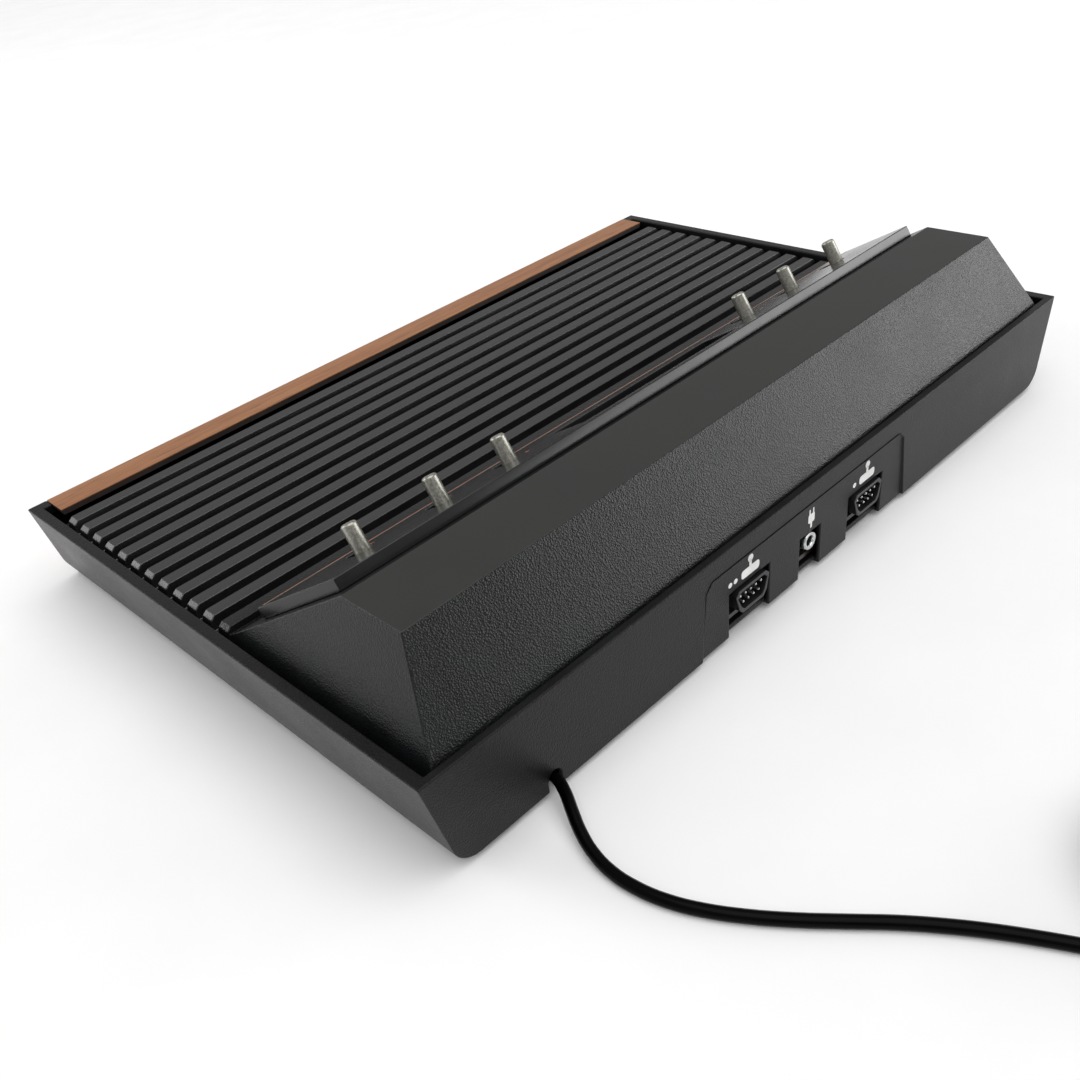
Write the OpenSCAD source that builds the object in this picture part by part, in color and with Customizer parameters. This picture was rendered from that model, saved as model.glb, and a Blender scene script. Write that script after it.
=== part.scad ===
// Woodgrain home video game console seen as a bench assembly: a leaning tray, a ribbed
// top with a hump, a switch plate with six levers, and the electronics inside.
// Millimetres. +X is the right-hand side for a player, -Y the front, +Z up.
// The origin is on the surface the console stands on, under the middle of the case.

/* [Case] */
// Width across the rim of the tray
body_w = 346; // [288:1:416]
// Depth from the foot of the front to the back rim
body_d = 240; // [200:1:288]
// Height of the rim above the surface the console stands on
rim_h = 39; // [34:0.5:47]
// Height of the hump above the rim
hump_rise = 28.3; // [24:0.1:34]
// Height of the rubber feet below the tray
foot_h = 2.2; // [1.5:0.1:4]
// How far each end wall leans in at the bottom
side_lean = 8.1; // [4:0.1:12]
// How far the front leans back at the top
front_lean = 8.7; // [4:0.1:12]
// How far the back wall leans in at the bottom
back_lean = 1; // [0.5:0.1:2]
// Radius of the long edges between the floor and the ends
bottom_round = 9; // [4:0.5:12]

/* [Walls] */
// Thickness of the moulded walls
wall = 2.6; // [2:0.1:3.2]
// Thickness of the tray's floor
floor_t = 2.3; // [2:0.1:3.2]
// Width of the rim along the ends
rim_w = 4.4; // [3.6:0.1:6]
// Width of the rim along the back
rim_back_w = 3; // [2.8:0.1:4]
// Depth of the thick part of the rim
lip_h = 4; // [3:0.1:6]
// Gap between the top shell and the rim
shell_gap = 0.4; // [0.3:0.05:0.8]
// Clearance between pieces that are laid together
seat_gap = 0.05; // [0.02:0.01:0.2]

/* [Front panel] */
// Width of the bare rim beside the front panel
panel_side = 7.8; // [6:0.1:12]
// Height of the black lip under the front panel
panel_sill = 9; // [6:0.1:14]
// Thickness of the front panel
panel_t = 2.1; // [1.6:0.1:3]
// Depth of the panel's top strip
panel_top_d = 13.1; // [10:0.1:18]
// Thickness of the woodgrain film
film_t = 0.35; // [0.2:0.05:0.6]

/* [Ribs] */
// Spacing of the deck ribs
rib_pitch = 9.57; // [8:0.01:12]
// Width of a rib's flat top
rib_top_w = 5.3; // [4:0.1:6.5]
// Slope of a rib's sides, each side
rib_draft = 0.6; // [0.2:0.1:1.2]
// Height of the ribs above the groove floor
rib_h = 5; // [3:0.1:6]
// Distance from a rib's end to the outside of the rim
rib_end_set = 7.1; // [6:0.1:12]
// Gap between the front panel and the first rib
first_rib_gap = 6.3; // [4:0.1:10]
// Slanting cut at both ends of each rib
rib_cut = 1.5; // [0.5:0.1:2.5]

/* [Hump] */
// Distance from the back rim to the back edge of the hump's top
hump_back_set = 21.5; // [18:0.1:28]
// Depth of the hump's flat top
hump_top_d = 26.4; // [20:0.1:34]
// Distance from the rim's side to the end of the hump's top
hump_end_set = 19.4; // [16:0.1:26]
// Slope of the hump's front
slope_a = 30.5; // [27:0.5:34]
// Slope of the hump's back
back_a = 60.1; // [55:0.1:70]
// Slope of the hump's ends
end_a = 69; // [60:0.5:80]

/* [Switch plate] */
// Thickness of the plate that stands on the slope
plate_t = 4.3; // [3:0.1:6]
// Distance down the slope to the plate's back edge
plate_v0 = 6.3; // [4:0.1:10]
// Length of the plate down the slope
plate_len = 40.7; // [38:0.1:44]
// Set-in of the plate's back corners from the hump's end
plate_back_in = 3.4; // [2:0.1:8]
// How far the plate widens towards its front on each side
plate_flare = 8.8; // [0:0.1:12]
// Width of the cartridge opening
cart_w = 85; // [71:1:102]
// Length of the cartridge opening down the slope
cart_v = 21; // [18:0.5:24]
// Wall of the cartridge chute
chute_wall = 1.5; // [1:0.1:2.5]

/* [Levers] */
// Diameter of a lever
lever_d = 5.6; // [4.6:0.1:6.8]
// Height of a lever above the plate
lever_h = 9.7; // [8:0.1:14]
// Depth of the lever's pivot below the slope
pivot_depth = 9; // [8:0.5:11]
// Side clearance of a lever in its slot
slot_gap = 0.5; // [0.4:0.1:1]
// Throw of a two-position lever, in degrees
toggle_throw = 20; // [10:1:22]
// Throw of a spring-return lever, in degrees
press_throw = 14; // [8:1:20]
// Diameter of the pivot pin
pin_d = 2; // [1.6:0.1:2.4]
// Radial clearance of the lever's hub on its pin
pin_gap = 0.05; // [0.02:0.01:0.1]

/* [Sockets] */
// Distance of each controller socket from the middle
port_x = 34.2; // [30:0.1:44]
// Height of the sockets' middle above the standing surface
port_z = 15; // [14.5:0.1:17]
// Width of a controller socket's shroud
shroud_w = 17.8; // [16:0.1:20]
// Height of a controller socket's shroud
shroud_h = 9.4; // [8.6:0.1:10]
// Wall of the shroud
shroud_wall = 1.1; // [0.8:0.1:1.4]
// Contact pitch along a row
contact_pitch = 2.77; // [2.7:0.01:2.8]
// Spacing of the two contact rows
contact_row = 2.84; // [2.7:0.01:2.9]
// Diameter of a contact
contact_d = 1; // [0.8:0.1:1.2]
// Bore of the power jack
jack_bore = 3.6; // [3.4:0.1:4]
// Outside diameter of the power jack's metal bush
jack_d = 6.9; // [6:0.1:8]

/* [Cord] */
// Diameter of the aerial cord
cord_d = 3.8; // [3.4:0.1:3.9]
// Distance of the cord's notch from the end of the rim
cord_set = 45.2; // [42:0.1:50]

/* [Hidden] */

$fn = 48;
eps = 0.01;
big = 400;

// ---- levels and outlines of the case ----
tub_z = foot_h;
floor_z = tub_z + floor_t;
back_y = body_d / 2;
front_y = -body_d / 2;
side_h = rim_h - tub_z;
deck_z = rim_h - 0.5 - rib_h;
deck_t = 2.4;
shell_x = body_w / 2 - rim_w - shell_gap;
shell_back_y = back_y - rim_back_w - shell_gap;
panel_back_y = front_y + front_lean + panel_top_d;
deck_front_y = panel_back_y + shell_gap;

// Half width of the tray at height z
function half_w(z) = body_w / 2 - side_lean * (rim_h - z) / side_h;
// Rounded corner between the floor at height z0 and an end wall moved in by t
lean_a = atan(side_lean / side_h);
function corner(t, z0, r) = [for (k = [0 : 8]) let (a = -90 + (90 - lean_a) * k / 8)
    [half_w(z0) - t - r * (1 - sin(lean_a)) / cos(lean_a) + r * cos(a), z0 + r + r * sin(a)]];
function mirrored(p) = [for (i = [len(p) - 1 : -1 : 0]) [-p[i][0], p[i][1]]];
// Front and back faces of the tray at height z
function face_front(z) = front_y + front_lean * (z - tub_z) / side_h;
function face_back(z) = back_y - back_lean * (rim_h - z) / side_h;

// ---- hump ----
hump_z = rim_h + hump_rise;
hump_back_y = back_y - hump_back_set;
hump_front_y = hump_back_y - hump_top_d;
hump_half = body_w / 2 - hump_end_set;
// Front slope, back slope and end of the hump at height z, moved in by the wall t
function slope_y(z, t) = hump_front_y + t / sin(slope_a) - (hump_z - z) / tan(slope_a);
function hump_y(z, t) = min(hump_back_y - t / sin(back_a) + (hump_z - z) / tan(back_a), shell_back_y - t);
function hump_x(z, t) = hump_half - t / sin(end_a) + (hump_z - z) / tan(end_a);
// Height at which the back slope reaches the shell's back edge
function turn_z(t) = hump_z - (shell_back_y - t - hump_back_y + t / sin(back_a)) * tan(back_a);

// ---- ribs ----
first_rib_y = panel_back_y + first_rib_gap;
rib_half = body_w / 2 - rib_end_set;
rib_count = floor((slope_y(deck_z + rib_h, 0) - first_rib_y - rib_top_w) / rib_pitch) + 1;

// ---- switch plate, in the slope's own frame ----
plate_half = hump_half - plate_back_in;
cart_half = cart_w / 2;
cart_v0 = plate_v0 + 6;
lever_v = plate_v0 + 22.2;
inner_lever_x = cart_half + 23;
outer_lever_x = plate_half - 22.4;
middle_lever_x = outer_lever_x - 0.52 * (outer_lever_x - inner_lever_x);
lever_x = [outer_lever_x, middle_lever_x, inner_lever_x];
slot_w = lever_d + 2 * slot_gap;
slot_run = (plate_t + pivot_depth) * tan(toggle_throw) + 1;
hub_d = 7;
hub_w = 7;
tail_len = 3;
cell_x = 6;
cell_wall = 1.5;
cell_v = 9;
cell_top = pivot_depth - 5;
board_n = pivot_depth + 9.4;
board_t = 1.6;
boss_v = [lever_v - 13, lever_v + 13.5];
boss_x = [outer_lever_x, inner_lever_x];

// ---- main board and its shield, parallel to the slope ----
shield_v0 = -4;
shield_v1 = 46;
shield_t = 1;
shield_n = (hump_z - shield_v1 * sin(slope_a) - floor_z - 1.5) / cos(slope_a);
shield_h = 19;
// Height at y of a plane parallel to the slope and n below it
function shield_z(y, n) = hump_z + ((y - hump_front_y) * sin(slope_a) - n) / cos(slope_a);
main_n = shield_n - 4;
connector_half = cart_half - 9.5;
shield_half = connector_half + 60;
connector_n = shield_n - shield_h - 1;

// ---- sockets ----
socket_board_z = floor_z + 1.7;
socket_face_y = back_y;
socket_y0 = back_y - 22;
shroud_y0 = back_y - 8;
notch_top = port_z + shroud_h / 2 + 0.5;
notch_half = shroud_w / 2 + 1.9;
jack_notch = 6;
recess_top = rim_h - 7.5;
recess_half = port_x + 23.2;
socket_board_half = port_x + 25.8;

// ---- cord, its coil and its plug ----
cord_x = body_w / 2 - cord_set;
cord_r = cord_d / 2;
cord_z = floor_z + cord_r + 0.2;
clamp_y0 = back_y - 16;
clamp_y1 = back_y - 4;
cord_path = [
    [127.4, 116, 6.6], [128.2, 120.5, 6.5], [130.3, 125.5, 5.9], [133.2, 130.5, 5],
    [136.4, 136.5, 3.7], [139, 143.5, 2.5], [140.4, 151.5, 1.9], [140.2, 160, 1.9],
    [138.4, 168.5, 1.9], [134.8, 177.5, 1.9], [129.2, 187.5, 1.9], [122.4, 197.5, 1.9],
    [115, 207.2, 1.9], [107.6, 216.8, 1.9], [101, 226.5, 1.9], [95.4, 235.8, 1.9],
    [91, 244, 1.9], [87, 252, 1.9], [83.1, 260.1, 1.9], [79.3, 268.2, 2.1],
    [75.5, 276.4, 2.3], [71.7, 284.5, 2.5]
];
coil_centre = [46, 272];
coil_r = 21;
coil_rows = 5;
coil_layers = 4;
tie_t = 0.6;
coil_out = coil_r + cord_d * coil_rows / 2;
coil_in = coil_r - cord_d * coil_rows / 2;
coil_top = tie_t + cord_d * coil_layers;
tail_path = [
    [46, 300.6, 13.9], [37, 300.2, 13.6], [28.5, 298.8, 11.4], [20.5, 296.6, 7.4],
    [13, 294, 3.8], [5.5, 291.4, 2.2], [-2.5, 288.8, 2.1], [-10.5, 286.6, 3],
    [-18, 285, 4.6], [-25, 284, 5.5]
];
plug_r = 5.5;
plug_turn = 172;

// ---- shared shapes ----
// Outline in X and Z, carried from y0 to y1
module along_y(y0, y1) {
    translate([0, y1, 0]) rotate([90, 0, 0]) linear_extrude(y1 - y0) children();
}
// Outline in Y and Z, carried from x0 to x1
module along_x(x0, x1) {
    translate([x0, 0, 0]) rotate([90, 0, 90]) linear_extrude(x1 - x0) children();
}
// Box given by its low and high corners
module span(low, high) {
    translate(low) cube(high - low);
}
// Frame of the hump's front slope: Y runs up the slope, Z stands out of it
module on_slope() {
    translate([0, hump_front_y, hump_z]) rotate([slope_a, 0, 0]) children();
}
// Box on the slope: x, distance down the slope v, and height n above it
module slope_box(x0, x1, v0, v1, n0, n1) {
    on_slope() translate([x0, -v1, n0]) cube([x1 - x0, v1 - v0, n1 - n0]);
}
// Upright cylinder on the slope
module slope_post(x, v, r, n0, n1) {
    on_slope() translate([x, -v, n0]) cylinder(r = r, h = n1 - n0);
}
// Slot with round ends that runs down the slope
module slope_slot(x, v0, v1, r, n0, n1) {
    slope_post(x, v0, r, n0, n1);
    slope_post(x, v1, r, n0, n1);
    slope_box(x - r, x + r, v0, v1, n0, n1);
}
// Upright cylinder
module post(x, y, r, z0, z1) {
    translate([x, y, z0]) cylinder(r = r, h = z1 - z0);
}
module mirror_x() {
    children();
    mirror([1, 0, 0]) children();
}
// Places of the four feet and the four case screws
foot_x = body_w / 2 - 26;
foot_y = [front_y + 26, back_y - 34];
screw_x = body_w / 2 - 24;
screw_y = [front_y + 48, slope_y(deck_z, 0) - 16];

// Tube swept along a route, with rings square to it
function unit(v) = v / norm(v);
function heading(p, i) = unit(p[min(i + 1, len(p) - 1)] - p[max(i - 1, 0)]);
function side(d) = unit(cross(d, [0, 0, 1]));
function ring(p, i, r, n) = let (d = heading(p, i), s = side(d), u = cross(s, d))
    [for (k = [0 : n - 1]) p[i] + r * (cos(360 * k / n) * s + sin(360 * k / n) * u)];
module tube(p, r, n) {
    last = len(p) - 1;
    points = [for (i = [0 : last]) each ring(p, i, r, n)];
    sides = [for (i = [0 : last - 1], k = [0 : n - 1])
        [i * n + k, i * n + (k + 1) % n, (i + 1) * n + (k + 1) % n, (i + 1) * n + k]];
    start = [for (k = [0 : n - 1]) n - 1 - k];
    end = [for (k = [0 : n - 1]) last * n + k];
    polyhedron(points, concat(sides, [start, end]));
}

// ---- case ----
// Solid of the tray's outer faces
module tub_block() {
    intersection() {
        along_y(front_y, back_y) polygon(concat(
            corner(0, tub_z, bottom_round), [[body_w / 2, rim_h], [-body_w / 2, rim_h]],
            mirrored(corner(0, tub_z, bottom_round))));
        along_x(-body_w / 2, body_w / 2) polygon([
            [front_y, tub_z], [face_back(tub_z), tub_z],
            [back_y, rim_h], [face_front(rim_h), rim_h]]);
    }
}
// Hollow of the tray below the rim's lip
module tub_hollow() {
    top = rim_h - lip_h;
    inner_round = bottom_round - floor_t;
    intersection() {
        along_y(front_y, back_y) polygon(concat(
            corner(wall, floor_z, inner_round), [[half_w(top) - wall, top], [-half_w(top) + wall, top]],
            mirrored(corner(wall, floor_z, inner_round))));
        along_x(-body_w / 2, body_w / 2) polygon([
            [face_front(floor_z) + panel_t + film_t + wall, floor_z], [face_back(floor_z) - wall, floor_z],
            [face_back(top) - wall, top], [face_front(top) + panel_t + film_t + wall, top]]);
    }
}
// Opening through the lip, in which the top shell and the front panel lie
module tub_mouth() {
    span([-body_w / 2 + rim_w, face_front(rim_h) + panel_t + film_t + wall, rim_h - lip_h - eps],
         [body_w / 2 - rim_w, back_y - rim_back_w, rim_h + 1]);
}
// Room for the front panel, with its leaning ends
module panel_room(gap) {
    bottom = panel_sill;
    intersection() {
        along_y(front_y - 1, panel_back_y + gap) polygon([
            [-half_w(bottom) + panel_side - gap, bottom], [half_w(bottom) - panel_side + gap, bottom],
            [half_w(rim_h + 1) - panel_side + gap, rim_h + 1],
            [-half_w(rim_h + 1) + panel_side - gap, rim_h + 1]]);
        children();
    }
}
// Shallow recess round the sockets, deeper towards the bottom, with cut corners
module socket_recess() {
    intersection() {
        along_y(back_y - 4, back_y + 1) polygon([
            [-recess_half - 2.8, 0], [recess_half + 2.8, 0],
            [recess_half, recess_top - 3], [recess_half - 3, recess_top],
            [-recess_half + 3, recess_top], [-recess_half, recess_top - 3]]);
        along_x(-recess_half - 4, recess_half + 4) polygon([
            [back_y - 2.1, 0], [back_y + 2, 0],
            [back_y + 2, recess_top], [face_back(recess_top) - 0.35, recess_top]]);
    }
}
// Cut through the back wall for one socket, open at the bottom
module socket_notch(x, half, top) {
    span([x - half, face_back(tub_z) - wall - 0.6, -1], [x + half, back_y + 1, top]);
}
// Web that carries the shield's slanting underside
module shield_web(x) {
    n = shield_n + seat_gap;
    y0 = hump_front_y - (shield_v1 - 2) * cos(slope_a) + n * sin(slope_a);
    y1 = min(hump_front_y - (shield_v0 + 2) * cos(slope_a) + n * sin(slope_a), socket_y0 - 11);
    along_x(x - 1.5, x + 1.5) polygon([
        [y0, floor_z - eps], [y1, floor_z - eps], [y1, shield_z(y1, n)], [y0, shield_z(y0, n)]]);
}
module bottom_tub() {
    color("#1d1d1e") difference() {
        union() {
            difference() {
                tub_block();
                tub_hollow();
                tub_mouth();
                panel_room(seat_gap) along_x(-body_w / 2, body_w / 2) polygon([
                    [face_front(panel_sill) - 5, panel_sill],
                    [face_front(panel_sill) + film_t + panel_t + seat_gap, panel_sill],
                    [face_front(rim_h - panel_t) + film_t + panel_t + seat_gap, rim_h - panel_t - seat_gap],
                    [panel_back_y, rim_h - panel_t - seat_gap],
                    [panel_back_y, rim_h + 1], [face_front(rim_h) - 5, rim_h + 1]]);
            }
            for (y = screw_y, s = [-1, 1]) post(s * screw_x, y, 4, floor_z - eps, 20);
            for (x = [-70, 0, 70]) shield_web(x);
            for (s = [-1, 1], y = [socket_y0 - 6, socket_y0 + 12])
                post(s * (socket_board_half - 6), y, 3, floor_z - eps, socket_board_z - seat_gap);
        }
        socket_recess();
        for (s = [-1, 1]) socket_notch(s * port_x, notch_half, notch_top);
        socket_notch(0, jack_notch, port_z + 4.2);
        span([cord_x - 2.65, face_back(tub_z) - wall - 0.6, -1], [cord_x + 2.65, back_y + 1, cord_z - 0.1]);
        along_y(back_y - 5, back_y + 1) translate([cord_x, cord_z - 0.1]) circle(r = 2.65);
        for (y = screw_y, s = [-1, 1]) {
            post(s * screw_x, y, 1.8, tub_z - 1, 21);
            post(s * screw_x, y, 3.4, tub_z - 1, tub_z + 2);
        }
        for (y = foot_y, s = [-1, 1]) post(s * foot_x, y, 7.1, tub_z - 1, tub_z + 0.8);
        span([channel_x - 5, channel_y - 2.2, tub_z - 1], [channel_x + 5, channel_y + 2.2, floor_z + 1]);
    }
}
// Solid of the hump, moved in by t, from height z0 up
module hump_block(t, z0) {
    top = hump_z - t;
    intersection() {
        along_x(-body_w / 2, body_w / 2) polygon([
            [slope_y(z0, t), z0], [slope_y(top, t), top], [hump_y(top, t), top],
            [shell_back_y - t, turn_z(t)], [shell_back_y - t, z0]]);
        along_y(-big, big) polygon([
            [-hump_x(z0, t), z0], [-hump_x(top, t), top], [hump_x(top, t), top], [hump_x(z0, t), z0]]);
    }
}
// One deck rib with cut ends
module rib(y) {
    foot = rib_top_w + 2 * rib_draft;
    intersection() {
        along_x(-body_w / 2, body_w / 2) polygon([
            [y - rib_draft, deck_z - eps], [y, deck_z + rib_h], [y + rib_top_w, deck_z + rib_h],
            [y - rib_draft + foot, deck_z - eps]]);
        along_y(-big, big) polygon([
            [-rib_half - 1.2, deck_z - eps], [-rib_half - 0.3, deck_z + rib_h - rib_cut],
            [-rib_half + rib_cut, deck_z + rib_h], [rib_half - rib_cut, deck_z + rib_h],
            [rib_half + 0.3, deck_z + rib_h - rib_cut], [rib_half + 1.2, deck_z - eps]]);
    }
}
module top_shell() {
    color("#242526") {
        shell_skin();
        for (x = boss_x, s = [-1, 1], v = boss_v) difference() {
            slope_post(s * x, v, 3.4, -board_n + seat_gap, -wall + 0.5);
            slope_post(s * x, v, 1.05, -board_n - 1, -wall - 3);
        }
    }
}
module shell_skin() {
    difference() {
        union() {
            span([-shell_x, deck_front_y, deck_z - deck_t], [shell_x, shell_back_y, deck_z]);
            mirror_x() span([shell_x - 3, deck_front_y, deck_z - 6], [shell_x - 1, shell_back_y, deck_z - deck_t + eps]);
            span([-shell_x + 1, shell_back_y - 2, deck_z - 6], [shell_x - 1, shell_back_y, deck_z - deck_t + eps]);
            span([-shell_x + 1, deck_front_y, deck_z - 6], [shell_x - 1, deck_front_y + 2, deck_z - deck_t + eps]);
            for (i = [0 : rib_count - 1]) rib(first_rib_y + i * rib_pitch);
            hump_block(0, deck_z - eps);
            for (y = screw_y, s = [-1, 1]) post(s * screw_x, y, 4, 20 + seat_gap, deck_z - deck_t + eps);
        }
        hump_block(wall, deck_z - deck_t - 1);
        for (x = lever_x, s = [-1, 1])
            slope_box(s * x - 5, s * x + 5, lever_v - 7, lever_v + 10, -wall - 1, 1);
        slope_box(-cart_half - chute_wall - seat_gap, cart_half + chute_wall + seat_gap,
            cart_v0 - chute_wall - seat_gap, cart_v0 + cart_v + chute_wall + seat_gap, -wall - 1, 1);
        for (y = screw_y, s = [-1, 1]) post(s * screw_x, y, 1.55, 19, 27);
    }
}
module front_panel() {
    color("#2b2523") panel_room(0) along_x(-body_w / 2, body_w / 2) polygon([
        [face_front(panel_sill) + film_t, panel_sill],
        [face_front(rim_h) + film_t, rim_h], [panel_back_y, rim_h], [panel_back_y, rim_h - panel_t],
        [face_front(rim_h - panel_t) + film_t + panel_t, rim_h - panel_t],
        [face_front(panel_sill) + film_t + panel_t, panel_sill]]);
}
module woodgrain_film() {
    color("#a9683a") panel_room(0) along_x(-body_w / 2, body_w / 2) polygon([
        [face_front(panel_sill), panel_sill], [face_front(rim_h) + 0.1, rim_h + film_t],
        [panel_back_y, rim_h + film_t], [panel_back_y, rim_h],
        [face_front(rim_h) + film_t, rim_h], [face_front(panel_sill) + film_t, panel_sill]]);
}

// ---- switch plate and cartridge way ----
module switch_plate() {
    back = plate_v0;
    front = plate_v0 + plate_len;
    color("#151516") difference() {
        on_slope() linear_extrude(plate_t) polygon([
            [-plate_half, -back], [plate_half, -back],
            [plate_half + plate_flare, -front], [-plate_half - plate_flare, -front]]);
        for (x = lever_x, s = [-1, 1])
            slope_slot(s * x, lever_v - 0.3, lever_v + slot_run, slot_w / 2, -1, plate_t + 1);
        slope_box(-cart_half, cart_half, cart_v0, cart_v0 + cart_v, -1, plate_t + 1);
    }
}
module cartridge_chute() {
    deep = board_n + 3;
    color("#101011") difference() {
        slope_box(-cart_half - chute_wall, cart_half + chute_wall,
            cart_v0 - chute_wall, cart_v0 + cart_v + chute_wall, -deep, -seat_gap);
        slope_box(-cart_half, cart_half, cart_v0, cart_v0 + cart_v, -deep - 1, 1);
    }
}
module cartridge_connector() {
    mid = cart_v0 + cart_v / 2;
    color("#30343a") difference() {
        slope_box(-connector_half, connector_half, mid - 5, mid + 5, -main_n + seat_gap, -connector_n);
        slope_box(-connector_half + 3, connector_half - 3, mid - 1, mid + 1, -connector_n - 9, 0);
    }
}

// ---- levers and switches ----
// Lever that stands square to the slope, with a hub round its pivot pin
module lever(x) {
    top = plate_t + lever_h;
    color("#8f908d") difference() {
        on_slope() translate([x, -lever_v, 0]) {
            rotate_extrude() polygon([
                [0, -pivot_depth + 1], [lever_d / 2, -pivot_depth + 1], [lever_d / 2, top - 1],
                [lever_d / 2 - 0.3, top - 0.3], [lever_d / 2 - 1, top], [0, top]]);
            translate([-hub_w / 2, 0, -pivot_depth]) rotate([0, 90, 0]) cylinder(d = hub_d, h = hub_w);
            translate([0, 0, -pivot_depth - hub_d / 2 - tail_len]) cylinder(d = 2.4, h = tail_len + 1);
        }
        on_slope() translate([x - hub_w, -lever_v, -pivot_depth])
            rotate([0, 90, 0]) cylinder(r = pin_d / 2 + pin_gap, h = 2 * hub_w);
    }
}
// Open-topped switch frame round a lever's hub
module switch_frame(x) {
    outer = cell_x + cell_wall;
    color("#9a9da0") difference() {
        slope_box(x - outer, x + outer, lever_v - cell_v, lever_v + cell_v, -board_n + seat_gap, -cell_top);
        slope_box(x - cell_x, x + cell_x, lever_v - cell_v + 1.5, lever_v + cell_v - 1.5, -board_n + 1, 1);
        on_slope() translate([x - outer - 1, -lever_v, -pivot_depth])
            rotate([0, 90, 0]) cylinder(r = pin_d / 2, h = 2 * outer + 2);
    }
}
module lever_pins() {
    length = 2 * (cell_x + cell_wall);
    color("#c8cacc") for (x = lever_x, s = [-1, 1])
        on_slope() translate([s * x - length / 2, -lever_v, -pivot_depth])
            rotate([0, 90, 0]) cylinder(d = pin_d, h = length);
}
// Torsion springs beside the hubs of the two momentary levers
module return_springs() {
    color("#b9bbbd") for (x = [lever_x[0], lever_x[1]])
        on_slope() translate([x + hub_w / 2 + 0.5, -lever_v, -pivot_depth]) rotate([0, 90, 0])
            difference() {
                cylinder(r = pin_d / 2 + 1.3, h = 1.6);
                translate([0, 0, -1]) cylinder(r = pin_d / 2 + 0.4, h = 4);
            }
}
module switch_board() {
    half = outer_lever_x + 12;
    color("#2f5d3a") difference() {
        slope_box(-half, half, lever_v - 16, lever_v + 17, -board_n - board_t, -board_n);
        slope_box(-cart_half - chute_wall - 1, cart_half + chute_wall + 1,
            cart_v0 - chute_wall - 1, cart_v0 + cart_v + chute_wall + 1, -board_n - 3, 0);
        for (x = boss_x, s = [-1, 1], v = boss_v) slope_post(s * x, v, 1.2, -board_n - 3, -board_n + 1);
    }
}
// Screws from below that hold the switch board to the bosses under the slope
module board_screws() {
    color("#b0b2b4") for (x = boss_x, s = [-1, 1], v = boss_v) {
        slope_post(s * x, v, 1, -board_n - board_t - 0.5, -board_n + 7);
        slope_post(s * x, v, 2.2, -board_n - board_t - 1.6, -board_n - board_t - seat_gap);
    }
}

// ---- main board in its shield ----
module main_board() {
    color("#35663f") slope_box(-shield_half + 1.5, shield_half - 1.5, shield_v0 + 1.5, shield_v1 - 1.5,
        -main_n - board_t, -main_n);
}
module shield_bottom() {
    color("#a7a9a8") difference() {
        slope_box(-shield_half, shield_half, shield_v0, shield_v1, -shield_n, -main_n - board_t - seat_gap);
        slope_box(-shield_half + 3, shield_half - 3, shield_v0 + 3, shield_v1 - 3, -shield_n + shield_t, 0);
    }
}
module shield_top() {
    mid = cart_v0 + cart_v / 2;
    color("#a7a9a8") difference() {
        slope_box(-shield_half, shield_half, shield_v0, shield_v1,
            -main_n - board_t + seat_gap, -shield_n + shield_h);
        slope_box(-shield_half + shield_t, shield_half - shield_t, shield_v0 + shield_t,
            shield_v1 - shield_t, -shield_n - 1, -shield_n + shield_h - shield_t);
        slope_box(-connector_half - 0.5, connector_half + 0.5, mid - 5.5, mid + 5.5, -shield_n, 1);
        slope_box(ribbon_x - 0.5, ribbon_x + ribbon_w + 0.5, shield_v0 - 1, shield_v0 + shield_t + 0.5,
            -main_n - board_t, -main_n + 1.5);
    }
}
// Chip package with its two rows of legs standing on the main board
module chip(x, v, length) {
    color("#1a1a1c") {
        slope_box(x, x + length, v, v + 13.6, -main_n + 1, -main_n + 4.6);
        for (k = [0 : 3], w = [0.4, 12.4])
            slope_box(x + 2 + k * (length - 6) / 3, x + 4 + k * (length - 6) / 3,
                v + w, v + w + 0.8, -main_n + seat_gap, -main_n + 1 + eps);
    }
}
// Flat cable from the back edge of the switch board into the back of the shield
ribbon_x = -shield_half + 2;
ribbon_w = 18;
module ribbon_cable() {
    x1 = ribbon_x + ribbon_w;
    v0 = shield_v0 - 1.5;
    color("#8d8f92") {
        slope_box(ribbon_x, x1, v0, v0 + 1, -main_n + seat_gap, -board_n + seat_gap + 1);
        slope_box(ribbon_x, x1, v0, lever_v - 12, -board_n + seat_gap, -board_n + seat_gap + 1);
        slope_box(ribbon_x, x1, v0, shield_v0 + 4, -main_n + seat_gap, -main_n + seat_gap + 1);
    }
}

// ---- sockets at the back ----
module socket_board() {
    color("#2f5d3a") span(
        [-socket_board_half, socket_y0 - 10, socket_board_z],
        [socket_board_half, back_y - 5, socket_board_z + board_t]);
}
// Outline of the socket's mouth, wide side up, moved in by t
module mouth(t) {
    w = shroud_w / 2 - t;
    h = shroud_h / 2 - t;
    polygon([[-w + 1.6, h], [w - 1.6, h], [w, h - 1.6], [w - 1.7, -h + 1.6],
        [w - 3.2, -h], [-w + 3.2, -h], [-w + 1.7, -h + 1.6], [-w, h - 1.6]]);
}
module controller_socket(x) {
    z0 = socket_board_z + board_t;
    color("#18181a") difference() {
        union() {
            span([x - 10, socket_y0, z0], [x + 10, shroud_y0, port_z + shroud_h / 2]);
            translate([x, 0, port_z]) along_y(shroud_y0 - eps, socket_face_y) mouth(0);
        }
        translate([x, 0, port_z]) along_y(shroud_y0, socket_face_y + 1) mouth(shroud_wall);
        contact_holes(x);
    }
}
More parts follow.
